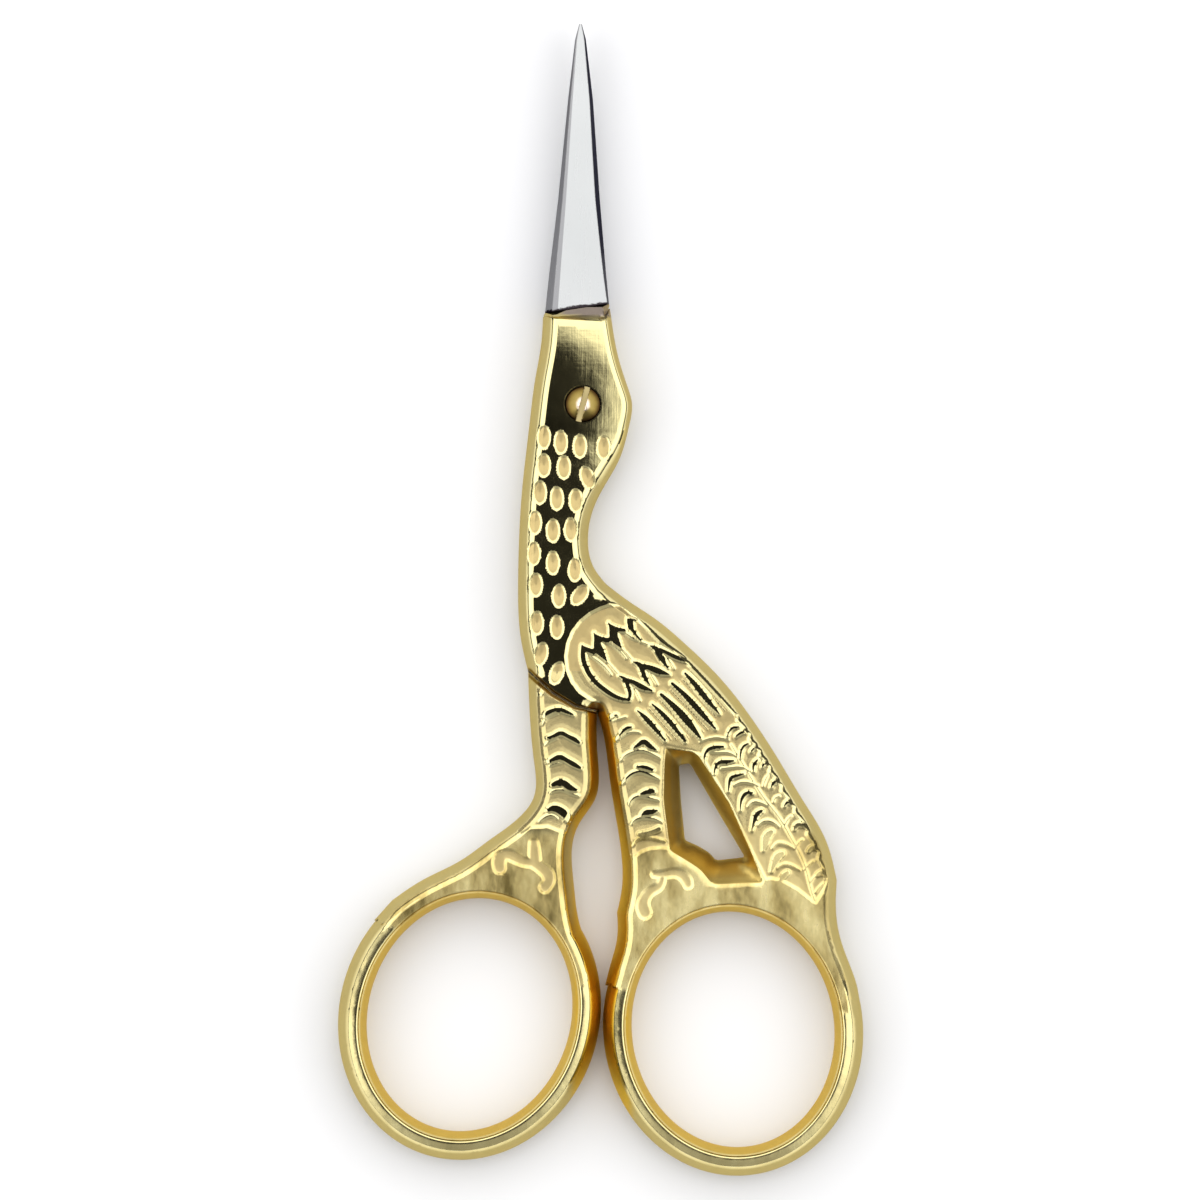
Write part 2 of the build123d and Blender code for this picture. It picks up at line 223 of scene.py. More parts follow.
# Ornament, in pixels. Ovals hollowed in the neck: middle x and y, turn in degrees
OVALS_PX = [
    (544, 438, 0), (561, 443, 0), (580, 447, 0), (603.5, 448, 0),
    (544, 466, 0), (564, 468, 0), (587.5, 478, 20),
    (540, 493, 0), (557, 499, 0), (576, 501, 0),
    (535, 523, 0), (553, 531, 0), (571, 530, 0),
    (534, 554, 0), (553, 563, 0), (575, 570, 0),
    (536, 585, 0), (559, 596, 0), (580, 595, -38),
    (537, 623, 0), (557, 627, 0),
    (541, 654, -15), (557, 673, -20),
]
OVAL_HALF_PX = (7.1, 12.0)
OVAL_BEVEL_PX = 2.2
OVAL_DEPTH = 0.085
OVAL_HOLLOW_SHARE = 0.7  # of that, deeper in the middle

# Tips of the tail's feathers along the bird's back
TAIL_TIPS_PX = [
    (739, 713), (751, 733), (761, 749), (771, 764), (783, 783), (796, 804), (809, 826), (820, 851),
    (830, 876),
]
TOOTH_PX = 5
TOOTH_SHARE = 0.22  # of the way to the next tip, where the edge is furthest in


def teeth(tips):
    """A saw-toothed line along some tips."""
    line = [tips[0]]
    for (ax, ay), (bx, by) in zip(tips[:-1], tips[1:]):
        size = hypot(bx - ax, by - ay) / TOOTH_PX
        line.append((
            ax + (bx - ax) * TOOTH_SHARE - (by - ay) / size, ay + (by - ay) * TOOTH_SHARE + (bx - ax) / size,
        ))
        line.append((bx, by))
    return line


# Fields sunk below the polished face: an outline, and how wide its slope is
RIGHT_FIELD_PX = [
    (622, 604), (610, 604), (600, 607.5), (590, 612.5), (580, 620.5), (572, 631), (567, 643), (565, 656),
    (566.5, 670), (571.5, 682), (579, 692), (590, 699.5), (598, 703), (596, 712), (600, 740), (604, 770),
    (609, 800), (615, 830), (622, 856), (634, 857), (642, 851.5), (650, 848.5), (661, 847.5), (669, 848.5),
    (672, 840), (670, 800), (672, 752), (690, 752), (700, 755), (728, 803), (756, 862), (765, 879),
    (770, 878), (781, 880), (797, 889), (812, 901), (816, 903), (822, 893), (827, 881),
] + teeth(TAIL_TIPS_PX)[::-1] + [
    (734, 713), (712, 689.5), (690, 666), (684, 657),
    (672, 650), (660, 642), (648, 629), (637, 617), (628, 609),
]
LEFT_FIELD_PX = [
    (522, 672), (553, 695), (576, 708), (606, 716), (606, 790), (590, 812), (574, 836), (565, 833),
    (557, 830), (548, 826.5), (531, 827.5), (520, 835), (514, 828), (526, 800), (528, 762), (526, 720),
]
WING_START_PX, WING_END_PX, TOES_START_PX = 600, (735, 755), 835
LEGS_PART_PX = 600
FIELD_DEPTH = 0.13
FIELD_BEVEL_PX = 3.0

# Polished tops left standing in the fields: x, y and half width along each line
TOPS_PX = [
    # first row of wing feathers
    [(629, 699.5, 1), (618, 697, 1.6), (605, 689.5, 1.9), (595, 681, 1.9), (587.5, 670, 2), (583.5, 659, 2),
     (582.8, 650, 1.6), (582, 645, 0.5)],
    [(582.5, 646, 0.8), (588, 649.5, 1.8), (594, 651.5, 2)],
    [(594, 632.5, 0.4), (596.5, 640, 2), (599, 649, 3.6), (603, 655, 2.2), (607, 661, 0.4)],
    [(595.5, 635, 1), (601, 638.5, 1.8), (608, 640, 2)],
    [(608.5, 622.5, 0.4), (612, 630, 2.2), (614.5, 638, 3.4), (618, 643, 2), (621.5, 648, 0.4)],
    [(610, 625, 1), (616, 628.5, 1.6), (624, 630, 1.4)],
    [(627.5, 618.5, 0.4), (630, 623, 2.4), (632, 629, 1.6), (637, 636, 1), (641, 641, 0.4)],
    [(629, 619.5, 0.8), (635, 620, 0.5)],
    # second row
    [(619.5, 675.5, 0.5), (625, 679, 1.6), (628, 686, 1.6), (630, 693, 1.5), (629, 699.5, 1)],
    [(627, 679, 1.2), (634, 682, 1.8), (641, 686, 2.2), (652, 690, 0.6)],
    [(633.5, 661.5, 0.5), (640, 665, 2), (643, 672, 1.8), (646, 679, 1.5), (649.5, 684, 0.5)],
    [(642, 665, 1.4), (650, 667.5, 2.2), (659, 671, 2.4), (669, 674, 0.5)],
    [(650.5, 645.5, 0.6), (656, 648.5, 2), (660, 655, 1.9), (664, 662, 1.6), (668, 668, 0.5)],
    [(660, 649, 1.2), (668, 653, 1.6), (677, 657.5, 1.5), (687, 661.5, 0.4)],
    # tail, the column beside the window
    [(703.5, 761, 0.5), (704.5, 755, 0.9), (707, 750, 1.3), (713, 747, 1.6), (723, 746, 1)],
    [(714, 773, 0.5), (715.5, 766, 1), (719, 762, 1.5), (725, 761, 1.7), (733, 760, 0.8)],
    [(728, 790, 0.5), (729, 783, 1), (731, 777, 1.4), (736, 775, 1.3), (743, 773, 0.7)],
    [(740, 809, 0.4), (741, 800, 1), (744, 794, 1.5), (747, 792, 1.3), (752, 792, 0.8)],
    [(751.5, 829, 0.5), (754, 820, 1.3), (757, 813, 1.8), (761, 810, 1.2)],
    [(763, 849, 0.5), (765, 842, 2.2), (767, 835, 2.6), (771, 831, 1.6)],
    [(771, 870, 0.6), (774, 862, 1.8), (778, 855, 2.4), (782, 852.5, 1.4)],
    [(780, 879, 0.8), (783, 875, 1.6), (787, 871.5, 1.2)],
    # tail, the column along the edge
    [(727, 736, 0.5), (729, 731, 0.7), (732, 727.5, 1), (738, 726.5, 0.7)],
    [(736, 735.5, 0.7), (741, 732, 1.1), (750, 731, 0.8), (753, 734, 0.5)],
    [(740, 757, 0.5), (741, 750, 0.9), (744, 745, 1), (748, 743, 0.6)],
    [(751, 750.5, 0.6), (754, 747.5, 0.8), (760, 748, 1), (763, 751, 0.5)],
    [(753, 770, 0.5), (753.5, 764, 1.1), (757, 759.5, 0.8)],
    [(762, 766, 0.5), (765, 763, 1), (771, 764, 0.7)],
    [(771, 786, 0.6), (774, 781.5, 1.3), (780, 781, 1.1), (784, 784, 0.6)],
    [(784, 805, 0.5), (787, 801.5, 1.2), (793, 802.5, 1.2), (797, 804.5, 0.5)],
    [(794, 828, 0.8), (797, 824, 1.5), (803, 824.5, 1.1), (808, 828, 0.5)],
    [(808, 850, 0.7), (812, 846.5, 1.2), (819, 848.5, 0.9)],
    [(817, 873.5, 0.9), (822, 871.5, 1.6), (829, 875, 0.8)],
    # right leg
    [(608, 719, 0.5), (612, 715.5, 1), (617, 714.5, 0.6)],
    [(616, 739, 0.5), (621, 733, 0.8), (627, 727.5, 1.3), (631, 726.5, 0.8)],
    [(634, 747, 0.7), (640, 743, 1.8), (643.5, 741, 2), (648, 744, 2.2), (656, 749, 0.6)],
    [(637, 766, 0.7), (645, 766.5, 1.5), (652, 769, 1.2)],
    [(641, 793, 0.8), (646, 791.5, 1.8), (653, 790.5, 1.6)],
    [(642, 814, 0.8), (646, 811.5, 2), (652, 811, 2), (657, 809.5, 0.8)],
    [(639, 833, 0.8), (648, 832, 1.4), (655, 830, 1.6), (659, 828, 1.6)],
    # left leg
    [(544, 716, 0.8), (547, 713, 1.6), (553, 710, 1.6), (560, 709, 1.6), (566, 711, 1.5), (573, 714, 0.7)],
    [(548, 737, 0.8), (555, 735, 1.5), (561, 732.5, 1.8), (568, 735.5, 1.6), (575, 739, 1.8),
     (579, 742, 1.2)],
    [(548, 761, 0.8), (555, 758, 1.8), (560, 756.5, 2.2), (566, 759, 1.8), (573, 763, 2), (580, 767, 1.2)],
    [(553, 784, 1.6), (558, 782, 2.4), (563, 782, 2.6), (569, 786, 2.6), (576, 789, 1.2)],
    [(549, 809, 1.4), (553, 807.5, 2.4), (559, 809, 3), (566, 815, 2.6), (568, 820, 0.8)],
]
TOP_BEVEL_PX = 1.7
TOP_GROWTH_SHARES = (1, 1, 1.2)
TOP_SPREAD_PX = 0.85  # added to each half width
FLOOR_SHARE = 0.8
DISH_BEVELS = 4  # how many bevels wide the dished floor goes on sinking
HAIR_PX = 0.3  # half width of the finest ridges
HAIR_TOP_SHARE = 0.7  # of a field's depth, how far down their tops are
HAIR_SHARES = (0.36, 0.64)  # where they lie between two flight feathers
HAIR_TRIM_SHARE = 0.06  # of their length, missing at each end

# Long flight feathers, which are tops too, with fine ridges between each and the next
FLIGHT_PX = [
    [(637.5, 710, 0.5), (645, 717, 1.9), (655, 728, 1.8), (665, 740, 0.7)],
    [(652, 703.5, 0.6), (661, 712, 1.7), (672, 724, 2), (685, 741, 0.7)],
    [(661, 694, 1.3), (672, 704, 2.2), (686, 719, 3), (700, 737, 1)],
    [(672, 683, 1.2), (684, 694, 2), (698, 709, 2.4), (715, 728, 0.8)],
    [(685, 673, 1), (694, 683, 2), (706, 698, 2.2), (719, 713, 0.6)],
    [(692, 661, 1), (704, 676, 1), (722, 694, 1), (740, 711, 1)],
]

# Lower ridges: the same, after how far their tops lie below the face, as a share of the field's depth
RIDGES_PX = [
    (0.3, [(617, 627.5, 0.5), (626, 633, 1), (634, 638.5, 1.1), (641, 641, 0.5)]),
    (0.35, [(603, 640, 0.5), (612, 645, 0.9), (620, 651, 1), (626, 658, 0.6)]),
    (0.35, [(588, 654, 0.5), (597, 660, 0.9), (605, 667, 1), (611, 674, 0.6)]),
    (0.3, [(607, 661, 0.5), (613, 668, 0.8), (619.5, 675.5, 0.8)]),
    (0.3, [(621.5, 648, 0.5), (627, 654, 0.8), (633.5, 661.5, 0.8)]),
    (0.3, [(641, 641, 0.5), (646, 643.5, 0.8), (650.5, 645.5, 0.8)]),
    (0.35, [(631.5, 683, 0.5), (636, 692, 0.8), (640, 700, 0.5)]),
    (0.35, [(646, 665, 0.5), (652, 676, 0.8), (657, 684, 0.5)]),
    (0.35, [(663, 650.5, 0.5), (669, 660, 0.8), (674, 668, 0.5)]),
    (0.5, [(700, 741, 0.6), (708, 738, 0.8), (718, 737, 1), (728, 739, 0.8)]),
    (0.3, [(711, 751.5, 0.6), (720, 751.5, 0.8), (729, 752, 0.7), (735, 755, 0.5)]),
    (0.3, [(721, 767.5, 0.8), (730, 766.5, 0.8), (742, 766.5, 0.6), (749, 770, 0.4)]),
    (0.3, [(734, 784, 0.5), (740, 781.5, 1), (750, 782, 0.9), (758, 785, 0.5)]),
    (0.25, [(748, 805, 0.5), (752, 801.5, 1.1), (760, 801.5, 0.9), (766, 804, 0.5)]),
    (0.2, [(758, 824, 0.5), (763, 820.5, 1.2), (771, 820.5, 1.2), (778, 825, 0.6)]),
    (0.2, [(772, 847, 0.5), (777, 842.5, 1.2), (786, 843.5, 1.2), (793, 847, 0.6)]),
    (0.2, [(777, 867, 0.6), (783, 863.5, 1.2), (792, 865, 1.2), (799, 868.5, 0.6)]),
    (0.35, [(763, 785, 0.6), (765, 779, 0.9), (768, 774, 0.6)]),
    (0.35, [(773, 801, 0.6), (775, 797, 0.9), (779, 795, 0.6)]),
    (0.35, [(784, 826, 0.5), (787, 819, 0.8), (791, 815, 0.6)]),
    (0.35, [(796, 847, 0.5), (798, 842, 0.8), (802, 838.5, 0.6)]),
    (0.35, [(804, 868, 0.5), (808, 864, 0.8), (813, 860, 0.6)]),
    (0.35, [(809, 883, 0.5), (813, 877, 0.8), (817, 873, 0.6)]),
    (0.3, [(815, 891, 0.5), (819, 886, 0.7), (823, 882, 0.5)]),
    (0.3, [(817, 898, 0.5), (820, 894, 0.7), (824, 889, 0.5)]),
    (0.4, [(731, 744, 0.6), (750, 776, 0.8), (765, 799, 0.8), (779, 817, 0.8), (790, 836, 0.8),
           (800, 854, 0.8), (806, 870, 0.8), (811, 890, 0.8), (815, 901, 0.6)]),
    (0.4, [(613, 720, 0.4), (620, 718, 0.7), (626, 716, 0.4)]),
    (0.4, [(621, 737, 0.5), (627, 733, 0.8), (634, 731, 0.7), (640, 732, 0.4)]),
    (0.25, [(620, 760, 0.6), (625, 755, 1.1), (633, 751, 1.2), (642, 749.5, 1.2), (650, 752, 1.2),
            (660, 757, 0.6)]),
    (0.25, [(622, 783, 0.8), (627, 777, 1.6), (634, 772, 1.8), (642, 771, 1.6), (650, 774, 1.6),
            (659, 778, 0.7)]),
    (0.25, [(629, 803, 0.8), (634, 797, 1.6), (641, 795, 1.4), (650, 797, 1.3), (659, 799, 0.6)]),
    (0.25, [(631, 823, 0.7), (637, 818, 1.4), (646, 816.5, 1.3), (655, 818, 1.2), (662, 821, 0.6)]),
    (0.25, [(632, 845, 0.8), (637, 839, 1.4), (647, 836.5, 1.3), (656, 838, 1.2), (665, 840, 0.6)]),
    (0.4, [(542, 724, 0.6), (546, 718, 1), (553, 714.5, 0.8), (558, 713, 0.6)]),
    (0.4, [(545, 744, 0.7), (551, 740, 1), (557, 737.5, 0.7)]),
    (0.4, [(550, 765, 0.7), (556, 763, 0.8), (561, 762, 0.5)]),
    (0.3, [(550, 792, 0.8), (555, 789.5, 1.2), (562, 789, 1.2), (570, 792, 1.2), (579, 795, 0.7)]),
    (0.3, [(540, 820, 0.8), (546, 816, 1.3), (552, 814.5, 1.2), (557, 817, 0.8)]),
    (0.5, [(536, 694, 1.4), (541, 694, 1.4)]),
]
RIDGE_BEVEL_PX = 1.7

# Toes, engraved: x, y and half width along each
TOES_PX = [
    [(534, 842, 5.5), (534.5, 850, 6.5), (535, 860, 7)],
    [(535, 861, 6), (524, 860.5, 5.5), (513, 855, 6.5), (504, 854, 6.5), (499.5, 860, 7.5), (500, 866.5, 7)],
    [(535, 862, 6.5), (543, 868, 6.5), (548.5, 874, 7), (549, 880, 6.5), (545, 886, 6.5)],
    [(654, 873, 4), (664, 873, 5), (674, 871.5, 5.5), (682, 874, 6), (687, 880, 6), (688, 883, 5.5)],
    [(662, 878, 4.5), (659, 885, 5), (652, 889, 5.5), (645, 897, 6), (643, 905, 7.5), (645, 911, 7.5)],
]
TOE_DEPTH = 0.13
TOE_BEVEL_PX = 2.6

PX_MM = np.array([FIGURE_WIDTH / FIGURE_WIDTH_PX, -FIGURE_HEIGHT / FIGURE_HEIGHT_PX])
PX = FIGURE_WIDTH / FIGURE_WIDTH_PX  # one pixel in millimetres


def place(pixels):
    """Millimetres from the screw's axis for places in the picture."""
    return (np.asarray(pixels, float) - PIVOT_PX) * PX_MM


def plating_line():
    """The two ends of the plating line, and its slope."""
    left, right = place(PLATING_LINE_PX)
    return left, right, (right[1] - left[1]) / (right[0] - left[0])


def picture(millimetres):
    """Places in the picture for millimetres from the screw's axis."""
    return np.asarray(millimetres, float) / PX_MM + PIVOT_PX


# Curves in the plane


def straight(points, step):
    """Points at most a step apart along the straight runs between the given ones."""
    points = np.asarray(points, float)
    runs = []
    for start, end in zip(points[:-1], points[1:]):
        count = max(1, int(np.ceil(np.hypot(*(end - start)[:2]) / step)))
        runs.append(start + (end - start) * (np.arange(count) / count)[:, None])
    return np.vstack(runs + [points[-1:]])


def smooth(points, step):
    """Points about a step apart on the natural cubic spline through the given ones."""
    points = np.asarray(points, float)
    if len(points) < 3:
        return straight(points, step)
    gaps = np.hypot(*np.diff(points[:, :2], axis=0).T)
    at = np.concatenate([[0], np.cumsum(gaps)])
    count = len(points)
    rows, right = np.eye(count), np.zeros(points.shape)
    for i in range(1, count - 1):
        rows[i, i - 1 : i + 2] = gaps[i - 1], 2 * (gaps[i - 1] + gaps[i]), gaps[i]
        right[i] = 6 * ((points[i + 1] - points[i]) / gaps[i] - (points[i] - points[i - 1]) / gaps[i - 1])
    bend = np.linalg.solve(rows, right)
    where = np.linspace(0, at[-1], max(2, int(round(at[-1] / step)) + 1))
    k = np.clip(np.searchsorted(at, where, side="right") - 1, 0, count - 2)
    before, after, gap = (v[:, None] for v in (at[k + 1] - where, where - at[k], gaps[k]))
    return (
        (bend[k] * before**3 + bend[k + 1] * after**3) / (6 * gap)
        + (points[k] / gap - bend[k] * gap / 6) * before
        + (points[k + 1] / gap - bend[k + 1] * gap / 6) * after
    )


def rounded(corners, radius, step):
    """A closed polygon with its corners rounded off."""
    corners = np.asarray(corners, float)
    line = []
    for i, corner in enumerate(corners):
        before, after = corners[i - 1] - corner, corners[(i + 1) % len(corners)] - corner
        reach_before = min(radius, np.hypot(*before) / CORNER_LIMIT)
        reach_after = min(radius, np.hypot(*after) / CORNER_LIMIT)
        start = corner + before / np.hypot(*before) * reach_before
        end = corner + after / np.hypot(*after) * reach_after
        for t in np.linspace(0, 1, CORNER_POINTS):
            line.append(start * (1 - t) ** 2 + corner * 2 * t * (1 - t) + end * t**2)
    return straight(line + line[:1], step)[:-1]


def ellipse(centre, halves, tilt, count):
    """Points round an ellipse; halves are its half axes, tilt is in degrees anticlockwise."""
    turn = np.arange(count) * 2 * pi / count
    x, y = halves[0] * np.cos(turn), halves[1] * np.sin(turn)
    c, s = cos(radians(tilt)), sin(radians(tilt))
    return np.stack([centre[0] + x * c - y * s, centre[1] + x * s + y * c], 1)


def shifted(line, width):
    """A line moved to its left."""
    before, after = np.roll(line, 1, 0), np.roll(line, -1, 0)
    before[0], after[-1] = line[0], line[-1]
    along = after - before
    along /= np.maximum(np.hypot(*along.T), 1e-9)[:, None]
    return line + np.stack([-along[:, 1], along[:, 0]], 1) * np.reshape(width, (-1, 1))


def enclosed(points, edges, margin=0.0):
    """Which points are inside a closed shape, given its edges, and clear of its border."""
    starts, ends = edges
    inside = np.ones(len(points), bool)
    for offset in [(0, 0)] if not margin else [(margin, 0), (-margin, 0), (0, margin), (0, -margin)]:
        x, y = (points + offset).T
        order = np.argsort(y)
        x, y = x[order], y[order]
        first = np.searchsorted(y, np.minimum(starts[:, 1], ends[:, 1]))
        last = np.searchsorted(y, np.maximum(starts[:, 1], ends[:, 1]))
        odd = np.zeros(len(points), bool)
        for (x1, y1), (x2, y2), i, j in zip(starts, ends, first, last):
            if i < j:
                odd[i:j] ^= x[i:j] < (x2 - x1) * (y[i:j] - y1) / (y2 - y1) + x1
        inside[order] &= odd
    return inside


def within(points, polygon):
    """Which points are inside a polygon."""
    return enclosed(points, (polygon, np.roll(polygon, -1, 0)))


def in_ellipse(points, centre, halves, tilt):
    """How far out points are, as a share of an ellipse's size."""
    c, s = cos(radians(tilt)), sin(radians(tilt))
    x, y = (points - centre).T
    return np.hypot((x * c + y * s) / halves[0], (-x * s + y * c) / halves[1])


def tree_of(points):
    """A tree that finds the nearest of some points."""
    tree = kdtree.KDTree(len(points))
    for i, (x, y) in enumerate(points.tolist()):
        tree.insert((x, y, 0), i)
    tree.balance()
    return tree


def distance(points, line, reach, closed=False, which=False):
    """How far each point is from a line, up to a reach, in millimetres, and which of the line's
    points is nearest."""
    far, index = np.full(len(points), float(reach)), np.zeros(len(points), int)
    near_box = ((points > line.min(0) - reach) & (points < line.max(0) + reach)).all(1)
    chosen = np.nonzero(near_box)[0]
    if not len(chosen):
        return (far, index) if which else far
    tree = tree_of(line)
    nearest = np.array([tree.find((x, y, 0))[1] for x, y in points[chosen].tolist()])
    last = len(line) - 1
    best = np.full(len(chosen), np.inf)
    for step in (-1, 1):
        other = nearest + step
        other = other % len(line) if closed else np.clip(other, 0, last)
        start, run = line[nearest], line[other] - line[nearest]
        length = np.maximum((run**2).sum(1), 1e-12)
        share = np.clip(((points[chosen] - start) * run).sum(1) / length, 0, 1)
        best = np.minimum(best, np.hypot(*(points[chosen] - start - run * share[:, None]).T))
    far[chosen], index[chosen] = np.minimum(best, reach), nearest
    return (far, index) if which else far


def soft(values, start, end):
    """0 before start, 1 after end, and a smooth rise between."""
    t = np.clip((values - start) / (end - start), 0, 1)
    return t * t * (3 - 2 * t)


# Outlines in millimetres, in stretches that each have the object on their left
Stretch = namedtuple("Stretch", "line kind width rim")
RIM = (RIM_WIDTH, RIM_FALL, EDGE_CUT)
BACK_RIM = (BACK_RIM_WIDTH, BACK_RIM_FALL, BACK_EDGE_CUT)


def stretch(pixels, kind="wall", rim=RIM, inset=0.0):
    """A stretch of outline, which has a leaning wall, is split off, slopes to the blade or is inside
    a ring; and how wide its wall is."""
    line = (smooth if kind == "wall" else straight)(place(pixels), FINE)
    head = soft(line[:, 1], *place([(0, HEAD_WALL_PX[1]), (0, HEAD_WALL_PX[0])])[:, 1]) * (line[:, 0] > 0)
    width = DRAFT + (HEAD_DRAFT - DRAFT) * head
    if kind == "split":
        along = soft(line[:, 0], *place([HIP_PX[0], HIP_PX[-1]])[:, 0])
        width = SPLIT_RIM_WIDTH * (1 + (SPLIT_RIM_SHARE - 1) * along)
    return Stretch(shifted(line, inset), kind, width, rim)


head_top = stretch([HEAD_BACK_PX[0], NECK_FRONT_PX[0]], "shoulder")
neck_front = stretch(NECK_FRONT_PX)
head_back = stretch(NAPE_PX[::-1] + HEAD_BACK_PX[-2::-1])
half_gap = SPLIT_GAP / 2
hip_front, hip_rear = (stretch(line, "split", inset=half_gap) for line in (HIP_PX, HIP_PX[::-1]))
chest_front, chest_rear = (stretch(line, "split", inset=half_gap) for line in (CHEST_PX, CHEST_PX[::-1]))
right_leg, left_leg = stretch(RIGHT_LEG_PX), stretch(LEFT_LEG_PX[::-1])
right_body = [
    right_leg,
    stretch(RIGHT_ANKLE_PX),
    stretch([RIGHT_ANKLE_PX[-1], TAIL_PX[-1]], "inside"),
    stretch(TAIL_PX[::-1], rim=BACK_RIM),
    stretch(BACK_PX[::-1], rim=BACK_RIM),
]
left_legs = [
    stretch(LEFT_HEEL_PX),
    stretch(LEFT_SHOULDER_PX),
    stretch([LEFT_SHOULDER_PX[-1], LEFT_ANKLE_PX[-1]], "inside"),
    stretch(LEFT_ANKLE_PX[::-1]),
    left_leg,
]
FRONT_BROAD = [neck_front, hip_front] + right_body + [head_back, head_top]
FRONT_NARROW = [chest_front] + right_body
REAR_BROAD = [neck_front] + left_legs + [chest_rear, head_back, head_top]
REAR_NARROW = left_legs + [hip_rear]


def ring_extent(along, across, tilt):
    turn = radians(tilt)
    return sqrt((along * cos(turn)) ** 2 + (across * sin(turn)) ** 2)


def ring(side, tilt, drop):
    """A finger ring's centre and tilt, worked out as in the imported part."""
    half_width, half_height = RING_BORE_WIDTH / 2, RING_BORE_HEIGHT / 2
    reach = ring_extent(half_width + RING_WALL, half_height + RING_WALL, tilt)
    return (
        np.array([
            place(RINGS_TOUCH_PX)[0] + side * (reach + REST_GAP / 2),
            -FIGURE_HEIGHT - drop - ring_extent(half_height, half_width, tilt),
        ]),
        tilt,
    )


RIGHT_RING = ring(1, RIGHT_RING_TILT, RIGHT_RING_DROP)
LEFT_RING = ring(-1, LEFT_RING_TILT, 0)


def ring_halves(grown):
    return RING_BORE_WIDTH / 2 + grown, RING_BORE_HEIGHT / 2 + grown


RING_OUTER = RING_WALL - RING_INSET
RING_RIM = (RING_RIM_WIDTH, RING_RIM_FALL, EDGE_CUT)
BORE_RIM = (BORE_RIM_WIDTH, BORE_RIM_FALL, EDGE_CUT)


# Forged surface


def wall_level(away, width, face):
    """How high a side wall stands at a distance from its foot: nearly straight, rounded at the foot,
    and out of the way beyond its width."""
    t = np.clip(away / width, 0, 1)
    level = face * ((1 - WALL_SWELL) * t + WALL_SWELL * np.sqrt(t * (2 - t)))
    return np.where(away > width, 2 * face, level)


def steep_level(away, face):
    """The same for a wall that stands upright."""
    return np.where(away > LIP, 2 * face, face * np.clip(away / LIP, 0, 1))


def bevelled(inward, width, drop, face):
    """How high a face stands at a distance inside its rim, where it is bevelled."""
    return face - drop * np.clip(1 - inward / width, 0, None)


def rim_level(away, width, face, rim=RIM):
    """How high a face stands at a distance from the foot of its wall: a bevel along the rim, and a
    fine chamfer outside that."""
    rim_width, rim_fall, edge_cut = rim
    steep = (1 - WALL_SWELL) * face / width
    corner = -rim_fall / (steep - rim_fall / rim_width)
    inward = away - width
    chamfer = face + steep * corner - edge_cut + CHAMFER_SLOPE * (inward - corner)
    return np.minimum(bevelled(inward, rim_width, rim_fall, face), chamfer)


def shoulder(points, face):
    """How high the slope from the head's face down to the blade stands, and how far inside its upper
    edge each point is."""
    from_foot, inward = (
        ay + (by - ay) * (points[:, 0] - ax) / (bx - ax) - points[:, 1]
        for (ax, ay), (bx, by) in place(SHOULDER_PX)
    )
    share = np.clip(from_foot / np.maximum(from_foot - inward, 1e-6), 0, 1)
    return np.where(inward > 0, 2 * face, wall_level(share, 1, face)), inward


def sinking(away, bevel):
    """How deep ornament is at a distance from a top, as a share: a bevel, then a dished floor."""
    out = away / bevel
    return FLOOR_SHARE * np.clip(out, 0, 1) + (1 - FLOOR_SHARE) * np.clip(out / DISH_BEVELS, 0, 1)


def floor_matt_and_shade(pixels):
    """How satin the carved floors are, and how far they are painted darker as shade: most in the neck's ovals
    and the wing, least in the legs and tail.
    """
    x, y = pixels.T
    wing = WING_MATT_AND_SHADE - TAIL_MATT_AND_SHADE_LOSS * soft(y, *WING_END_PX)
    left_leg_or_toe = np.where(y > TOES_START_PX, TOE_MATT_AND_SHADE, LEG_MATT_AND_SHADE)
    neck = (y < WING_START_PX) | (x < CHEST_PX[0][0]) & (y < HIP_PX[0][1])
    return np.where(neck, 1, np.where(x > LEGS_PART_PX, wing, left_leg_or_toe))


def beyond(pixels, stroke):
    """How far places are beyond the edge of a stroke, which is a line of x, y and half width."""
    stroke = smooth(stroke, STROKE_STEP_PX)
    low = (stroke[:, :2] - stroke[:, 2:]).min(0) - STROKE_REACH_PX
    high = (stroke[:, :2] + stroke[:, 2:]).max(0) + STROKE_REACH_PX
    chosen = ((pixels > low) & (pixels < high)).all(1)
    out, near = np.full(len(pixels), np.inf), pixels[chosen]
    best = np.full(len(near), np.inf)
    for start, end in zip(stroke[:-1], stroke[1:]):
        run = end - start
        share = np.clip((near - start[:2]) @ run[:2] / (run[:2] @ run[:2]), 0, 1)
        away = np.hypot(*(near - start[:2] - share[:, None] * run[:2]).T) - start[2] - share * run[2]
        best = np.minimum(best, away)
    out[chosen] = best
    return out


def between(strokes, share):
    """Strokes part of the way from each stroke to the next, hair thin."""
    lines = []
    for first, second in zip(strokes[:-1], strokes[1:]):
        a, b = (np.array(stroke)[[0, -1]] for stroke in (first, second))
        line = a + (b - a) * share
        line[:, 2] = HAIR_PX
        trim = (line[1] - line[0]) * HAIR_TRIM_SHARE
        lines.append(np.array([line[0] + trim, (line[0] + line[1]) / 2, line[1] - trim]))
    return lines


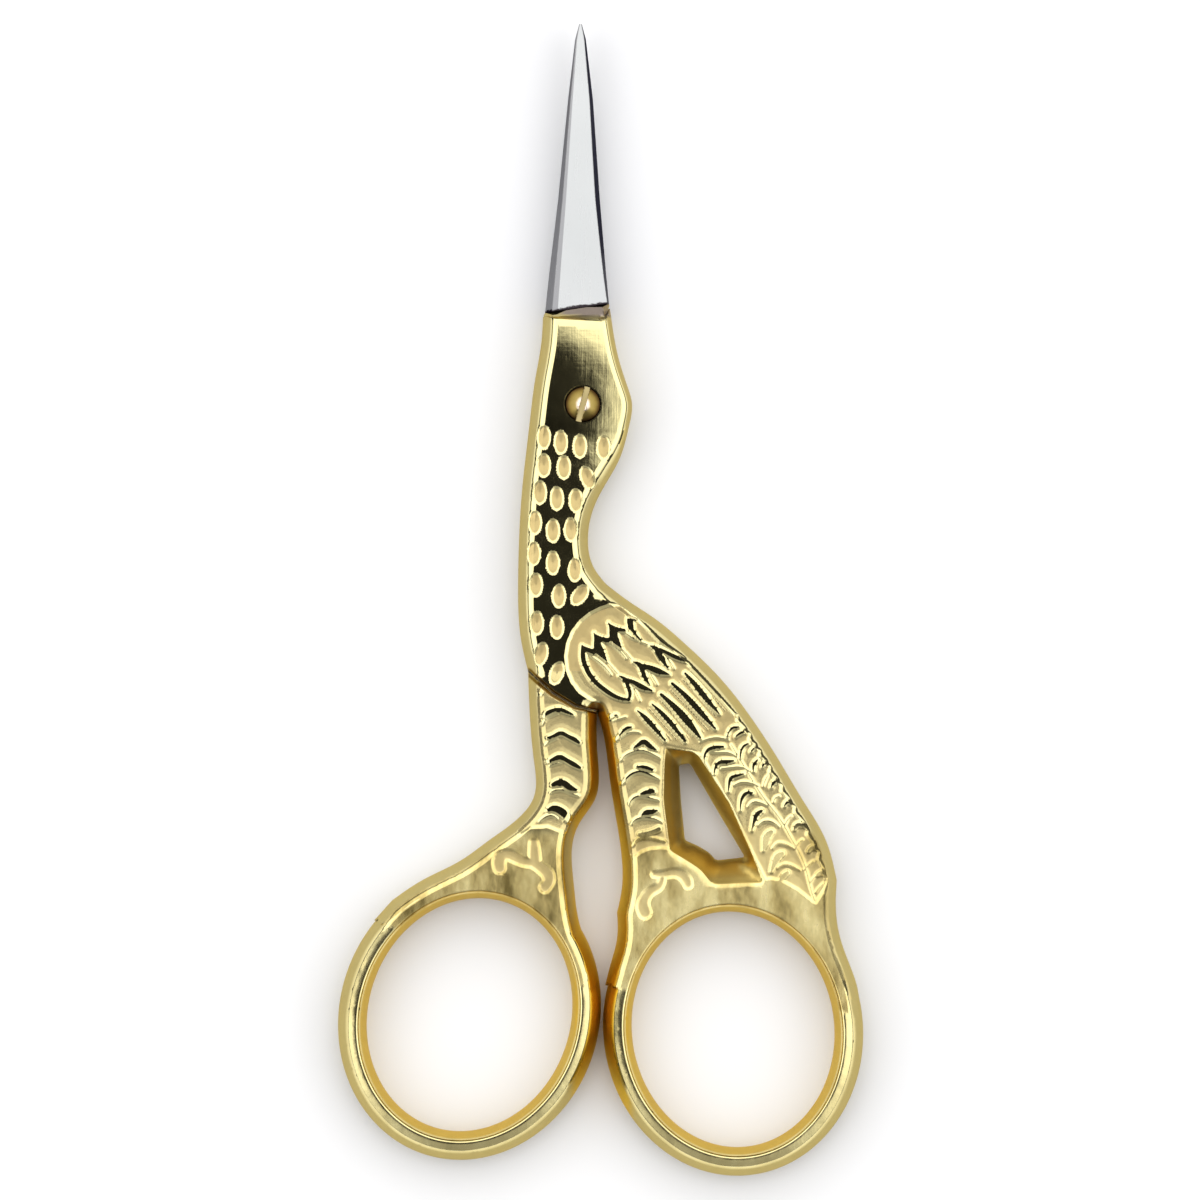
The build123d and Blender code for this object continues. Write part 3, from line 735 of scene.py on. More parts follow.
def carve(points):
    """How deep the ornament lies below the polished face, and that as a share of its field's depth."""
    pixels = picture(points)
    share = np.zeros(len(points))
    for field in (RIGHT_FIELD_PX, LEFT_FIELD_PX):
        line = straight(field + field[:1], FIELD_STEP_PX)
        inside = np.nonzero(within(pixels, line[:-1]))[0]
        if len(inside):
            from_edge = distance(pixels[inside], line[:-1], FIELD_BEVEL_PX * DISH_BEVELS, True)
            share[inside] = sinking(from_edge, FIELD_BEVEL_PX)
    sunk = np.nonzero(share > 0)[0]
    here = pixels[sunk]
    level = share[sunk]
    for stroke in TOPS_PX + FLIGHT_PX:
        away = beyond(here, np.array(stroke) * TOP_GROWTH_SHARES) - TOP_SPREAD_PX
        level = np.minimum(level, sinking(away, TOP_BEVEL_PX))
    hairs = [(HAIR_TOP_SHARE, line) for part in HAIR_SHARES for line in between(FLIGHT_PX, part)]
    for top, stroke in RIDGES_PX + hairs:
        level = np.minimum(level, top + (1 - top) * sinking(beyond(here, stroke), RIDGE_BEVEL_PX))
    share[sunk] = level
    depth = share * FIELD_DEPTH
    for stroke in TOES_PX:
        toe = sinking(-beyond(pixels, stroke), TOE_BEVEL_PX)
        share, depth = np.maximum(share, toe), np.maximum(depth, toe * TOE_DEPTH)
    for x, y, turn in OVALS_PX:
        out = in_ellipse(pixels, (x, y), OVAL_HALF_PX, -turn)
        steepness = in_ellipse(pixels, (x, y), np.array(OVAL_HALF_PX) ** 2, -turn)
        oval = np.clip((1 - out) * out / np.maximum(steepness, 1e-6) / OVAL_BEVEL_PX, 0, 1)
        hollow = np.clip(1 - out * OVAL_HALF_PX[0] / (OVAL_HALF_PX[0] - OVAL_BEVEL_PX), 0, 1)
        share = np.maximum(share, oval)
        depth = np.maximum(depth, OVAL_DEPTH * (oval + OVAL_HOLLOW_SHARE * hollow))
    return depth, share


def root_level(points, side):
    """The height of the blade's plated root, which runs into the head."""
    left, right = plating_line()[:2]
    middle, half_width = (left[0] + right[0]) / 2, (right[0] - left[0]) / 2
    across = (points[:, 0] - middle) * side  # from the spine to the cutting edge
    spine = np.clip((across + half_width) / BLADE_SPINE_DRAFT, 0, 1) * BLADE_THICKNESS
    edge = BLADE_EDGE_LAND + np.clip((half_width - across) / BLADE_BEVEL, 0, 1) * (
        BLADE_THICKNESS - BLADE_EDGE_LAND
    )
    from_plating = distance(points, straight([left, right], FINE), ROOT_LENGTH + LIP)
    level = np.minimum(np.minimum(spine, edge), steep_level(from_plating, BLADE_THICKNESS))
    return np.where(from_plating < ROOT_LENGTH, level, 0)


def body_levels(points, side, face):
    """How high the walls and the face of the body stand, how far places are stained or on the wall of
    a split, and which are at its foot."""
    walls, tops = np.full(len(points), 2 * face), np.full(len(points), face)
    stain_and_gap_shade, split = np.zeros(len(points)), np.zeros(len(points))
    upright = np.zeros(len(points), bool)
    for part in side["stretches"]:
        away, nearest = distance(points, part.line, REACH, which=True)
        if part.kind == "wall":
            width = part.width[nearest]
            walls = np.minimum(walls, wall_level(away, width, face))
            tops = np.minimum(tops, rim_level(away, width, face, part.rim))
        elif part.kind == "split":
            width = part.width[nearest]
            at_foot = away <= SPLIT_FOOT
            walls = np.minimum(walls, steep_level(away, face))
            tops = np.minimum(tops, bevelled(away - LIP, width, SPLIT_RIM_SLOPE * width, face))
            # the wall of a split, later painted dark as shadow in the gap
            split = np.maximum(split, soft(LIP + width - away, 0, SPLIT_BLEND) * ~at_foot)
            upright |= at_foot
        elif part.kind == "shoulder":
            slope, inward = shoulder(points, face)
            walls = np.minimum(walls, slope)
            on_face = np.maximum(inward, 0)
            tops = np.minimum(tops, bevelled(on_face, SHOULDER_RIM_WIDTH, SHOULDER_RIM_FALL, face))
            stain_and_gap_shade = soft(inward, *SHOULDER_STAIN)
    walls[~within(points, side["outline"])] = 0
    return walls, tops, stain_and_gap_shade, split, upright


def ring_levels(points, ring_at, face):
    """How high the outer wall and the face of a finger ring stand, and how far places are from its
    bore."""
    centre, tilt = ring_at
    outer, bore = (ellipse(centre, ring_halves(grown), tilt, NEAR_POINTS) for grown in (RING_OUTER, 0))
    from_outer, from_bore = (distance(points, line, REACH, True) for line in (outer, bore))
    wall = wall_level(from_outer, DRAFT, face)
    wall[in_ellipse(points, centre, ring_halves(RING_OUTER), tilt) > 1] = 0
    return wall, rim_level(from_outer, DRAFT, face, RING_RIM), from_bore


def cut_window(points, loops, face, walls, tops):
    """Walls and face lowered for the window, and how far places are on its shaded walls."""
    from_hole, from_rim = (distance(points, loop, REACH, True) for loop in (loops[0], loops[-1]))
    in_rim = within(points, loops[-1])
    share = from_hole / np.maximum(from_hole + from_rim, 1e-6)
    walls = np.where(in_rim, np.minimum(walls, wall_level(share, 1, face)), walls)
    away = np.where(in_rim, 0, from_rim)
    tops = np.minimum(tops, bevelled(away, WINDOW_RIM_WIDTH, WINDOW_RIM_FALL, face))
    shaded = np.where(picture(points)[:, 0] < WINDOW_LEFT_PX, soft(share, *WINDOW_SHADE_SHARES), 1)
    return walls, tops, WINDOW_SHADE * in_rim * shaded


def crown(pixels):
    """How far the head's rounded face has fallen from its highest place."""
    x, y = (pixels - CROWN_MIDDLE_PX).T * PX
    out = x**2 + np.minimum(y, CROWN_REACH_PX * PX) ** 2
    return HEAD_CROWN * out * (1 - soft(pixels[:, 1], *CROWN_FADE_PX))


def drilled(points, side, face, level):
    """Heights with the recess for the screw's head, and the hole for the rest of it."""
    from_axis = np.hypot(*points.T)
    if side["head_hole"]:
        rise = SCREW_HEAD_HEIGHT * np.clip((from_axis - HEAD_HOLE) / LIP, 0, 1)
        level = np.minimum(level, face - SCREW_HEAD_HEIGHT + rise + (from_axis > HEAD_HOLE + LIP))
    if side["hole"]:
        level = np.minimum(level, steep_level(from_axis - side["hole"], face))
    return level


def surface(points, side, face):
    """Heights above the parting level on one side of a half, and by name how deep it is carved there,
    and how far it is a satin floor painted darker as shade, a side wall painted darker as shade, an inner
    wall painted deep orange as reflection, cast, stained, or a split's wall painted dark as shadow."""
    walls, tops, stain_and_gap_shade, split, upright = body_levels(points, side, face)
    ring_wall, ring_top, from_bore = ring_levels(points, side["ring"], face)
    in_body = np.minimum(walls, tops) >= np.minimum(ring_wall, ring_top)
    walls, tops = np.where(in_body, walls, ring_wall), np.where(in_body, tops, ring_top)
    walls = np.minimum(walls, wall_level(from_bore, BORE_FLARE, face))
    tops = np.minimum(tops, rim_level(from_bore, BORE_FLARE, face, BORE_RIM))
    # inner walls of the bores: painted deep orange as reflection, in shade
    inner = BORE_SHADE * soft(BORE_FLARE - from_bore, 0, BORE_BLEND)
    if side["window"]:
        walls, tops, shade = cut_window(points, side["window"], face, walls, tops)
        inner = np.maximum(inner, shade)
    pixels = picture(points)
    depth, share = carve(points)
    # satin finish, and carved floors painted darker as shade
    matt_and_shade = soft(share, *MATT_AND_SHADE_SHARES) * floor_matt_and_shade(pixels)
    cast = CAST_BODY * soft(pixels[:, 1], *CAST_NECK_PX) + CAST_FEET * soft(pixels[:, 1], *CAST_FEET_PX)
    cast = np.where(in_body, cast, np.minimum(cast, RING_CAST))
    # walls facing each other between the rings: painted deep orange as reflection
    facing = 1 - soft(np.abs(pixels[:, 0] - RINGS_TOUCH_PX[0]), *FACING_PX)
    inner = np.maximum(inner, facing * (pixels[:, 1] > HIP_PX[-1][1]))
    tops = tops - depth
    depth, matt_and_shade = np.where(upright, 0, depth), np.where(upright, 0, matt_and_shade)
    if side["head_hole"]:
        tops -= crown(pixels)
    level = np.minimum(tops, walls)
    # side walls: satin, and painted darker as shade; the wall of a split too
    wall = np.maximum(soft(tops - walls, 0.0, WALL_BLEND), split)
    inner = np.maximum(inner * wall, split)
    if side["root"]:
        root = root_level(points, side["root"])
        matt_and_shade, wall = np.where(root > level, 1, matt_and_shade), np.where(root > level, 1, wall)
        level = np.maximum(level, root)
    return np.maximum(drilled(points, side, face, level), 0), {
        "carved": depth, "matt_and_shade": matt_and_shade, "wall": wall, "inner": inner, "cast": cast,
        # the shoulder's real stain, and the walls of splits painted dark as shadow in the gap
        "stain_and_gap_shade": np.maximum(stain_and_gap_shade * wall, split),
    }


def circle(radius):
    return closed(ellipse((0, 0), (radius, radius), 0, SCREW_POINTS))


def closed(line):
    return np.vstack([line, line[:1]])


def edge_offsets(width, rim):
    """Distances from the foot of a wall at which its upper edge, chamfer and bevel begin and end."""
    rim_width, rim_fall, edge_cut = rim
    slope, steep = rim_fall / rim_width, (1 - WALL_SWELL) * THICKNESS / 2 / width
    corner = width - rim_fall / (steep - slope)
    return [width * share for share in WALL_SHARES] + [
        corner - edge_cut / (steep - CHAMFER_SLOPE), corner + edge_cut / (CHAMFER_SLOPE - slope),
        width + rim_width / 2, width + rim_width, width + rim_width + RIM_MARGIN,
    ]


def side_lines(side):
    """Lines that the mesh follows on one side of a half."""
    lines = []
    for part in side["stretches"]:
        if part.kind == "split":
            offsets = [0, LIP, 2 * LIP, LIP + part.width / 2, LIP + part.width]
        elif part.kind == "wall":
            offsets = edge_offsets(part.width, part.rim)
        else:
            offsets = []
        lines += [shifted(part.line, offset) for offset in offsets]
        if part.kind == "shoulder":
            feet, tops = place(SHOULDER_PX)
            lines += [straight(feet + (tops - feet) * share, FINE) for share in SHOULDER_SHARES]
    centre, tilt = side["ring"]
    for offset in edge_offsets(DRAFT, RING_RIM):
        lines.append(closed(ellipse(centre, ring_halves(RING_OUTER - offset), tilt, RING_POINTS)))
    for offset in edge_offsets(BORE_FLARE, BORE_RIM):
        lines.append(closed(ellipse(centre, ring_halves(offset), tilt, BORE_POINTS)))
    for loop in (side["window"] or [])[1:]:
        lines.append(closed(loop))
    if side["window"]:
        lines.append(closed(shifted(closed(side["window"][-1]), -WINDOW_RIM_WIDTH)[:-1]))
    if side["root"]:
        for x, y, turn in OVALS_PX:
            for trim in (0, OVAL_BEVEL_PX):
                halves = np.array(OVAL_HALF_PX) - trim
                lines.append(closed(place(ellipse((x, y), halves, -turn, OVAL_POINTS))))
    if side["head_hole"]:
        lines += [circle(HEAD_HOLE), circle(HEAD_HOLE + LIP)]
    if side["hole"]:
        lines.append(circle(side["hole"] + LIP))
    return lines


def grid(low, high, step):
    """Points of a triangular grid over a box."""
    rows = np.arange(low[1], high[1], step * sqrt(3) / 2)
    columns = np.arange(low[0], high[0], step)
    x = columns[None, :] + (np.arange(len(rows)) % 2)[:, None] * step / 2
    return np.stack([x.ravel(), np.repeat(rows, len(columns))], 1)


def apart(points, others, gap):
    """Those points that are at least a gap from all the others."""
    if not len(others) or not len(points):
        return points
    tree = tree_of(others)
    return points[[tree.find((x, y, 0))[2] > gap for x, y in points.tolist()]]


def joined(lines):
    """The points of some lines, and the edges between them."""
    starts = np.cumsum([0] + [len(line) for line in lines[:-1]])
    edges = [(start + i, start + i + 1) for start, line in zip(starts, lines) for i in range(len(line) - 1)]
    return np.vstack(lines), edges


def triangulated(points, edges):
    out = delaunay_2d_cdt([tuple(p) for p in points.tolist()], edges, [], 0, 1e-5, False)
    return np.array([tuple(v) for v in out[0]]), np.array(out[2])


def turned(plan, triangles, direction):
    """Triangles with their faces turned up or down."""
    a, b, c = (plan[triangles[:, i]] for i in range(3))
    turn = (b - a)[:, 0] * (c - a)[:, 1] - (b - a)[:, 1] * (c - a)[:, 0]
    return np.where((turn * direction > 0)[:, None], triangles, triangles[:, ::-1])


def border(triangles):
    """The edges that only one triangle has."""
    edges = np.sort(triangles[:, [0, 1, 1, 2, 2, 0]].reshape(-1, 2), axis=1)
    edges, count = np.unique(edges, axis=0, return_counts=True)
    return edges[count == 1]


def frontier(side):
    """Starts and ends of the edges round the plan of a half, as one shape with its holes."""
    centre, tilt = side["ring"]
    outer = ellipse(centre, ring_halves(RING_OUTER), tilt, RING_POINTS)
    bore = ellipse(centre, ring_halves(0), tilt, BORE_EDGE_POINTS)
    holes = [bore] + (side["window"] or [])[:1]
    if side["hole"]:
        holes.append(circle(side["hole"])[:-1])
    shapes = [side["outline"], outer] + ([ROOT_STRIP] if side["root"] else [])
    plan, triangles = triangulated(*joined([closed(line) for line in shapes + holes]))
    middles = plan[triangles].mean(1)
    kept = np.any([within(middles, shape) for shape in shapes], axis=0)
    for hole in holes:
        kept &= ~within(middles, hole)
    edges = border(triangles[kept])
    return plan[edges[:, 0]], plan[edges[:, 1]]


def clipped(points, runs, edges):
    """The parts of some lines that are inside a closed shape."""
    inside = enclosed(points, edges, LIP / 2)
    runs = runs[inside[runs].all(1)]
    runs = runs[enclosed(points[runs].mean(1), edges, LIP / 2)]
    used, flat = np.unique(runs, return_inverse=True)
    return points[used], flat.reshape(-1, 2)


def triangulate(side, round_edges, fine_step):
    """Plan points and triangles of one side of a half, and which points are on its border."""
    points, runs = joined(side_lines(side))
    points, runs = clipped(points, np.array(runs), round_edges)
    border_points = np.vstack(round_edges)
    count = len(border_points) // 2
    corners = np.vstack([border_points, points])
    edges = [(i, i + count) for i in range(count)] + (runs + 2 * count).tolist()
    low, high = corners.min(0), corners.max(0)
    coarse = grid(low, high, STEP)
    coarse = apart(coarse[enclosed(coarse, round_edges, STEP / 4)], corners, STEP / 2)
    fine = grid(low, high, fine_step)
    carved = (carve(fine)[0] > 0).reshape(-1, np.count_nonzero(fine[:, 1] == fine[0, 1]))
    for axis in (0, 0, 1, 1):  # and two rows beyond
        carved = carved | np.roll(carved, 1, axis) | np.roll(carved, -1, axis)
    fine = fine[carved.ravel()]
    fine = fine[enclosed(fine, round_edges, fine_step / 4)]
    fine = apart(fine, corners, fine_step * 0.5)
    coarse = apart(coarse, fine, fine_step)
    plan, triangles = triangulated(np.vstack([corners, coarse, fine]), edges)
    triangles = triangles[enclosed(plan[triangles].mean(1), round_edges)]
    used, flat = np.unique(triangles, return_inverse=True)
    triangles = flat.reshape(-1, 3)
    on_border = np.zeros(len(used), bool)
    on_border[np.unique(border(triangles))] = True
    return plan[used], triangles, on_border


def half(name, up, base, broad, narrow):
    """One forged half as a closed mesh. Its broad side is a face of its own; its narrow side has a
    flat on the rest of it, which slides on the other half."""
    points, faces, finishes = [], [], []
    count = 0
    round_edges, narrow_edges = frontier(broad), frontier(narrow)
    for side, direction in ((broad, up), (narrow, -up)):
        face = THICKNESS - base if direction > 0 else base
        fine_step = CARVED_STEP if direction > 0 else HIDDEN_STEP
        plan, triangles, on_border = triangulate(side, round_edges, fine_step)
        level, finish = surface(plan, side, face)
        if side is narrow:
            sliding = ~enclosed(plan, narrow_edges)
            level[sliding] = 0
            sliding &= ~on_border
            # the hidden flat that slides on the other half: partly satin and painted darker as shade, with no
            # wall colours
            for key, value in (("matt_and_shade", SLIDING_MATT_AND_SHADE), ("wall", 0), ("inner", 0)):
                finish[key][sliding] = value
        level[on_border] = 0
        points.append(np.column_stack([plan, base + direction * level]))
        faces.append(turned(plan, triangles, direction) + count)
        finishes.append(finish)
        count += len(plan)
    finish = {key: np.concatenate([finish[key] for finish in finishes]) for key in finishes[0]}
    return mesh_object(name, np.vstack(points), np.vstack(faces), finish)


def mesh_object(name, points, faces, attributes={}, crease=30):
    """A smooth-shaded mesh from points in millimetres, with edges sharper than the crease kept sharp,
    but for those of carved ornament."""
    mesh = bpy.data.meshes.new(name)
    mesh.from_pydata((np.asarray(points) * MM).tolist(), [], [tuple(map(int, face)) for face in faces])
    for key, values in attributes.items():
        attribute = mesh.attributes.new(key, "FLOAT", "POINT")
        attribute.data.foreach_set("value", np.asarray(values, np.float32))
    piece = bpy.data.objects.new(name, mesh)
    bpy.context.scene.collection.objects.link(piece)
    bm = bmesh.new()
    bm.from_mesh(mesh)
    bmesh.ops.remove_doubles(bm, verts=bm.verts, dist=MERGE * MM)
    bmesh.ops.dissolve_degenerate(bm, edges=bm.edges, dist=MERGE * MM)
    bm.to_mesh(mesh)
    bm.free()
    mesh.validate()
    mesh.shade_smooth()
    mesh.set_sharp_from_angle(angle=radians(crease))
    if "carved" in attributes:
        depth, ends = np.zeros(len(mesh.vertices), np.float32), np.zeros(2 * len(mesh.edges), int)
        sharp = np.zeros(len(mesh.edges), bool)
        mesh.attributes["carved"].data.foreach_get("value", depth)
        mesh.edges.foreach_get("vertices", ends)
        mesh.edges.foreach_get("use_edge_sharp", sharp)
        mesh.edges.foreach_set("use_edge_sharp", sharp & ~(depth[ends.reshape(-1, 2)] > 0).all(1))
    return piece


ROOT_STRIP = place(ROOT_STRIP_PX)


def outline_of(stretches):
    return np.vstack([part.line[:-1] for part in stretches])


window_loops = [
    rounded(
        place(WINDOW_PX) + (place(WINDOW_FACE_PX) - place(WINDOW_PX)) * share,
        CORNER_RADIUS + CORNER_GROWTH * share, FINE,
    )
    for share in WINDOW_SHARES
]
thread_hole = SCREW_THREAD_DIAMETER / 2 + THREAD_CLEARANCE
shoulder_hole = SCREW_SHOULDER_DIAMETER / 2 + SHOULDER_CLEARANCE


def half_side(stretches, ring_at, hole=0, window=None, root=0, head_hole=False):
    """What one side of a half is made of; root is 1 or -1 where a blade's root runs into it."""
    return {
        "stretches": stretches, "outline": outline_of(stretches), "ring": ring_at, "hole": hole,
        "window": window, "root": root, "head_hole": head_hole,
    }


front_top = half_side(
    FRONT_BROAD, RIGHT_RING, hole=shoulder_hole, window=window_loops, root=1, head_hole=True
)
front_bottom = half_side(FRONT_NARROW, RIGHT_RING, window=window_loops)
rear_bottom = half_side(REAR_BROAD, LEFT_RING, hole=thread_hole, root=-1)
rear_top = half_side(REAR_NARROW, LEFT_RING)

front_forging = half("front_forging_plated", 1, UPPER_BASE, front_top, front_bottom)
rear_forging = half("rear_forging_plated", -1, LOWER_BASE, rear_bottom, rear_top)


# Blades


def blade(name, side):
    """A ground blade: flat where it slides on the other, with a leaning spine and a ground bevel."""
    left, right, lean = plating_line()
    root = (left + right) / 2
    half_width = (right[0] - left[0]) / 2
    tip_x = place(BLADE_TIP_PX)[0]
    base = UPPER_BASE if side > 0 else LOWER_BASE
    shares = np.array(BLADE_WIDTH_SHARES)
    rows = []
    for along in np.concatenate([[-BLADE_OVERLAP / BLADE_LENGTH], np.linspace(0, 1, BLADE_ROWS)]):
        left_share, right_share = (np.interp(along, shares[:, 0], shares[:, i]) for i in (1, 2))
        middle = root[0] + (tip_x - root[0]) * max(along, 0)
        thick = BLADE_THICKNESS + (BLADE_TIP_THICKNESS - BLADE_THICKNESS) * max(along, 0)
        spine_share, edge_share = (left_share, right_share) if side > 0 else (right_share, left_share)
        spine = middle - side * half_width * spine_share
        edge = middle + side * half_width * edge_share
        ground = np.interp(along, *np.transpose(BLADE_GROUND_SHARES))
        face_edge = edge - side * BLADE_BEVEL * edge_share * ground
        face_spine = spine + side * BLADE_SPINE_DRAFT * spine_share
        arris = min(BLADE_ARRIS, ARRIS_LIMIT_SHARE * abs(face_edge - face_spine))
        section = [
            (spine, 0), (edge, 0), (edge, BLADE_EDGE_LAND),
            (face_edge + side * arris * ARRIS_LEAN_SHARE, thick - arris), (face_edge - side * arris, thick),
            (face_spine + side * arris, thick),
            (face_spine - side * arris * ARRIS_LEAN_SHARE, thick - arris),
        ]
        fade = max(0.0, 1 - max(along, 0) * PLATING_SLANT_FADE)
        rows.append([
            (x, root[1] + along * BLADE_LENGTH + lean * (x - root[0]) * fade, base + side * z)
            for x, z in section
        ])
    points = np.array(rows).reshape(-1, 3)
    around, count = len(rows[0]), len(rows)
    faces = []
    for i in range(0, (count - 1) * around, around):
        for j in range(around):
            following = (j + 1) % around
            faces.append((i + j, i + following, i + around + following, i + around + j))
    faces += [tuple(range(around))[::-1], tuple(range((count - 1) * around, count * around))]
    spine_painted_shade, bevel_painted_shade = np.zeros((count, around)), np.zeros((count, around))
    spine_painted_shade[:, [0, 5, 6]] = 1  # corners of the section on the leaning spine face, painted mid grey as shade
    bevel_painted_shade[:, [1, 2, 3]] = 1
    # which points get the painted shade of the spine face and of the ground bevel
    sides = {"spine": spine_painted_shade.ravel(), "ground": bevel_painted_shade.ravel()}
    return mesh_object(name, points, faces, sides, BLADE_CREASE)


front_steel = blade("front_blade_ground", 1)
rear_steel = blade("rear_blade_ground", -1)


# Screw


def screw():
    """Slotted domed head, plain shoulder and threaded end, as one turned mesh with its slot milled."""
    radius, count = SCREW_HEAD_DIAMETER / 2, SCREW_POINTS
    slot = SCREW_SLOT_WIDTH / 2
    c, s = cos(radians(90 + SCREW_SLOT_TURN)), sin(radians(90 + SCREW_SLOT_TURN))
    rim = ellipse((0, 0), (radius, radius), 0, count)
    lines = [closed(rim)]
    for share in (HEAD_RIM_SHARE, 1 - SCREW_EDGE / radius) + HEAD_SHARES:
        lines.append(closed(rim * share))
    for offset in (-slot - SLOT_EDGE, -slot - LIP, -slot, slot, slot + LIP, slot + SLOT_EDGE):
        reach = sqrt(radius**2 - offset**2) * SLOT_REACH_SHARE
        run = straight([(-reach, offset), (reach, offset)], SLOT_STEP)
        lines.append(np.stack([run[:, 0] * c - run[:, 1] * s, run[:, 0] * s + run[:, 1] * c], 1))
    points, edges = joined(lines)
    inner = grid((-radius, -radius), (radius, radius), HEAD_STEP)
    inner = apart(inner[np.hypot(*inner.T) < radius * HEAD_RIM_SHARE], points, HEAD_GAP)
    plan, triangles = triangulated(np.vstack([points, inner]), edges)
    out = np.hypot(*plan.T) / radius
    top = THICKNESS + SCREW_HEAD_DOME * (1 - 2 * out**2)
    top = bevelled(radius * (1 - out), SCREW_EDGE, SCREW_EDGE * SCREW_EDGE_SLOPE, top)
    across = np.abs(plan @ np.array([-s, c]))
    floor = THICKNESS + SCREW_HEAD_DOME - SCREW_SLOT_DEPTH
    beside = across - slot
    top = np.where(beside < LIP, floor + (top - floor) * np.clip(beside / LIP, 0, 1), top)
    top = np.where(beside >= LIP, bevelled(beside - LIP, SLOT_EDGE, SLOT_EDGE_FALL, top), top)
    faces = turned(plan, triangles, 1).tolist()
    points = np.column_stack([plan, top]).tolist()
    loop = list(range(count))  # the rim comes first among the lines
    profile = [
        (radius, THICKNESS - SCREW_HEAD_HEIGHT),
        (SCREW_SHOULDER_DIAMETER / 2, THICKNESS - SCREW_HEAD_HEIGHT),
        (SCREW_SHOULDER_DIAMETER / 2, LOWER_BASE),
        (SCREW_THREAD_DIAMETER / 2, LOWER_BASE),
        (SCREW_THREAD_DIAMETER / 2, SCREW_END_RECESS + SCREW_END_CHAMFER),
        (SCREW_THREAD_DIAMETER / 2 - SCREW_END_CHAMFER, SCREW_END_RECESS),
        (SCREW_THREAD_DIAMETER / 4, SCREW_END_RECESS - SCREW_END_DOME),
    ]
    for r, z in profile:
        start = len(points)
        points += [(r * x / radius, r * y / radius, z) for x, y in rim]
        faces += [
            (loop[i], start + i, start + (i + 1) % count, loop[(i + 1) % count]) for i in range(count)
        ]
        loop = list(range(start, start + count))
    faces.append(tuple(loop))
    # the slot: satin, and its floor painted a darker tan as shade
    matt_and_shade = np.zeros(len(points))
    matt_and_shade[: len(plan)] = across < slot
    return points, faces, matt_and_shade


screw_points, screw_faces, screw_matt_and_shade = screw()
turned_screw = mesh_object(
    "pivot_screw_turned", screw_points, screw_faces, {"matt_and_shade": screw_matt_and_shade}, SCREW_CREASE
)

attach(front_forging, "front_half")
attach(front_steel, "front_half")
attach(rear_forging, "rear_half")
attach(rear_steel, "rear_half")
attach(turned_screw, "rear_half")
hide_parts("front_handle")
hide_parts("front_blade")
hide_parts("rear_handle")
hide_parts("rear_blade")
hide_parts("pivot_screw")


# Materials


class Nodes:
    """Nodes of a material or of the sky, made by type name, with their inputs given by name, or by
    number as i0, i1 and so on."""

    def __init__(self, owner):
        self.owner = owner
        owner.use_nodes = True
        self.tree = owner.node_tree
        self.tree.nodes.clear()

    def add(self, kind, settings={}, **inputs):
        node = self.tree.nodes.new("ShaderNode" + kind)
        for key, value in settings.items():
            setattr(node, key, value)
        for key, value in inputs.items():
            self.feed(node, key.replace("_", " "), value)
        return node

    def feed(self, node, key, value):
        socket = node.inputs[int(key[1:])] if key[0] == "i" and key[1:].isdigit() else node.inputs[key]
        if isinstance(value, bpy.types.NodeSocket):
            self.tree.links.new(value, socket)
        else:
            socket.default_value = value

    def math(self, operation, a, b=0.0):
        return self.add("Math", {"operation": operation}, i0=a, i1=b).outputs[0]

    def mix(self, share, a, b):
        node = self.add("Mix", {"data_type": "RGBA"})
        self.feed(node, "i0", share)
        self.feed(node, "i6", a)
        self.feed(node, "i7", b)
        return node.outputs[2]

    def blend(self, share, a, b):
        return self.add("MapRange", i0=share, i1=0.0, i2=1.0, i3=a, i4=b).outputs[0]

    def ramp(self, value, *stops):
        node = self.add("ValToRGB", i0=value)
        elements = node.color_ramp.elements
        while len(elements) < len(stops):
            elements.new(0.5)
        for element, (at, colour) in zip(elements, stops):
            element.position = at
            element.color = (*colour, 1)
        return node.outputs[0]

    def noise(self, where, scale, detail=2.0, roughness=0.5, stretch=(1, 1, 1), turn=0.0):
        mapped = self.add("Mapping", Vector=where, Scale=stretch, Rotation=(0, 0, turn)).outputs[0]
        node = self.add("TexNoise", Vector=mapped, Scale=scale, Detail=detail, Roughness=roughness)
        return node.outputs[0]

    def attributes(self, *names):
        """How far a place is each of the things that its mesh keeps by name."""
        return [self.add("Attribute", {"attribute_name": name}).outputs["Fac"] for name in names]

    def root(self, a, b):
        """The square root of the sum of two squares."""
        squares = [self.math("POWER", value, 2.0) for value in (a, b)]
        return self.math("SQRT", self.math("ADD", *squares))

    def metal(self, colour, rough, height, tint):
        """Polished metal with fine dents, as this material's surface."""
        bump = self.add("Bump", Strength=1.0, Distance=DENT, Height=height).outputs[0]
        shader = self.add("BsdfPrincipled", Base_Color=colour, Metallic=1.0, Roughness=rough, Normal=bump,
                          Specular_Tint=tint)
        self.tree.links.new(shader.outputs[0], self.add("OutputMaterial").inputs[0])
        return self.owner


DENT = 0.00001  # height of the materials' dents, in metres
ROOT_BAND_END, ROOT_BAND_START, ROOT_BAND_RAGGED = -0.00021, -0.00013, 0.0006  # dark band along the blade's root, in metres
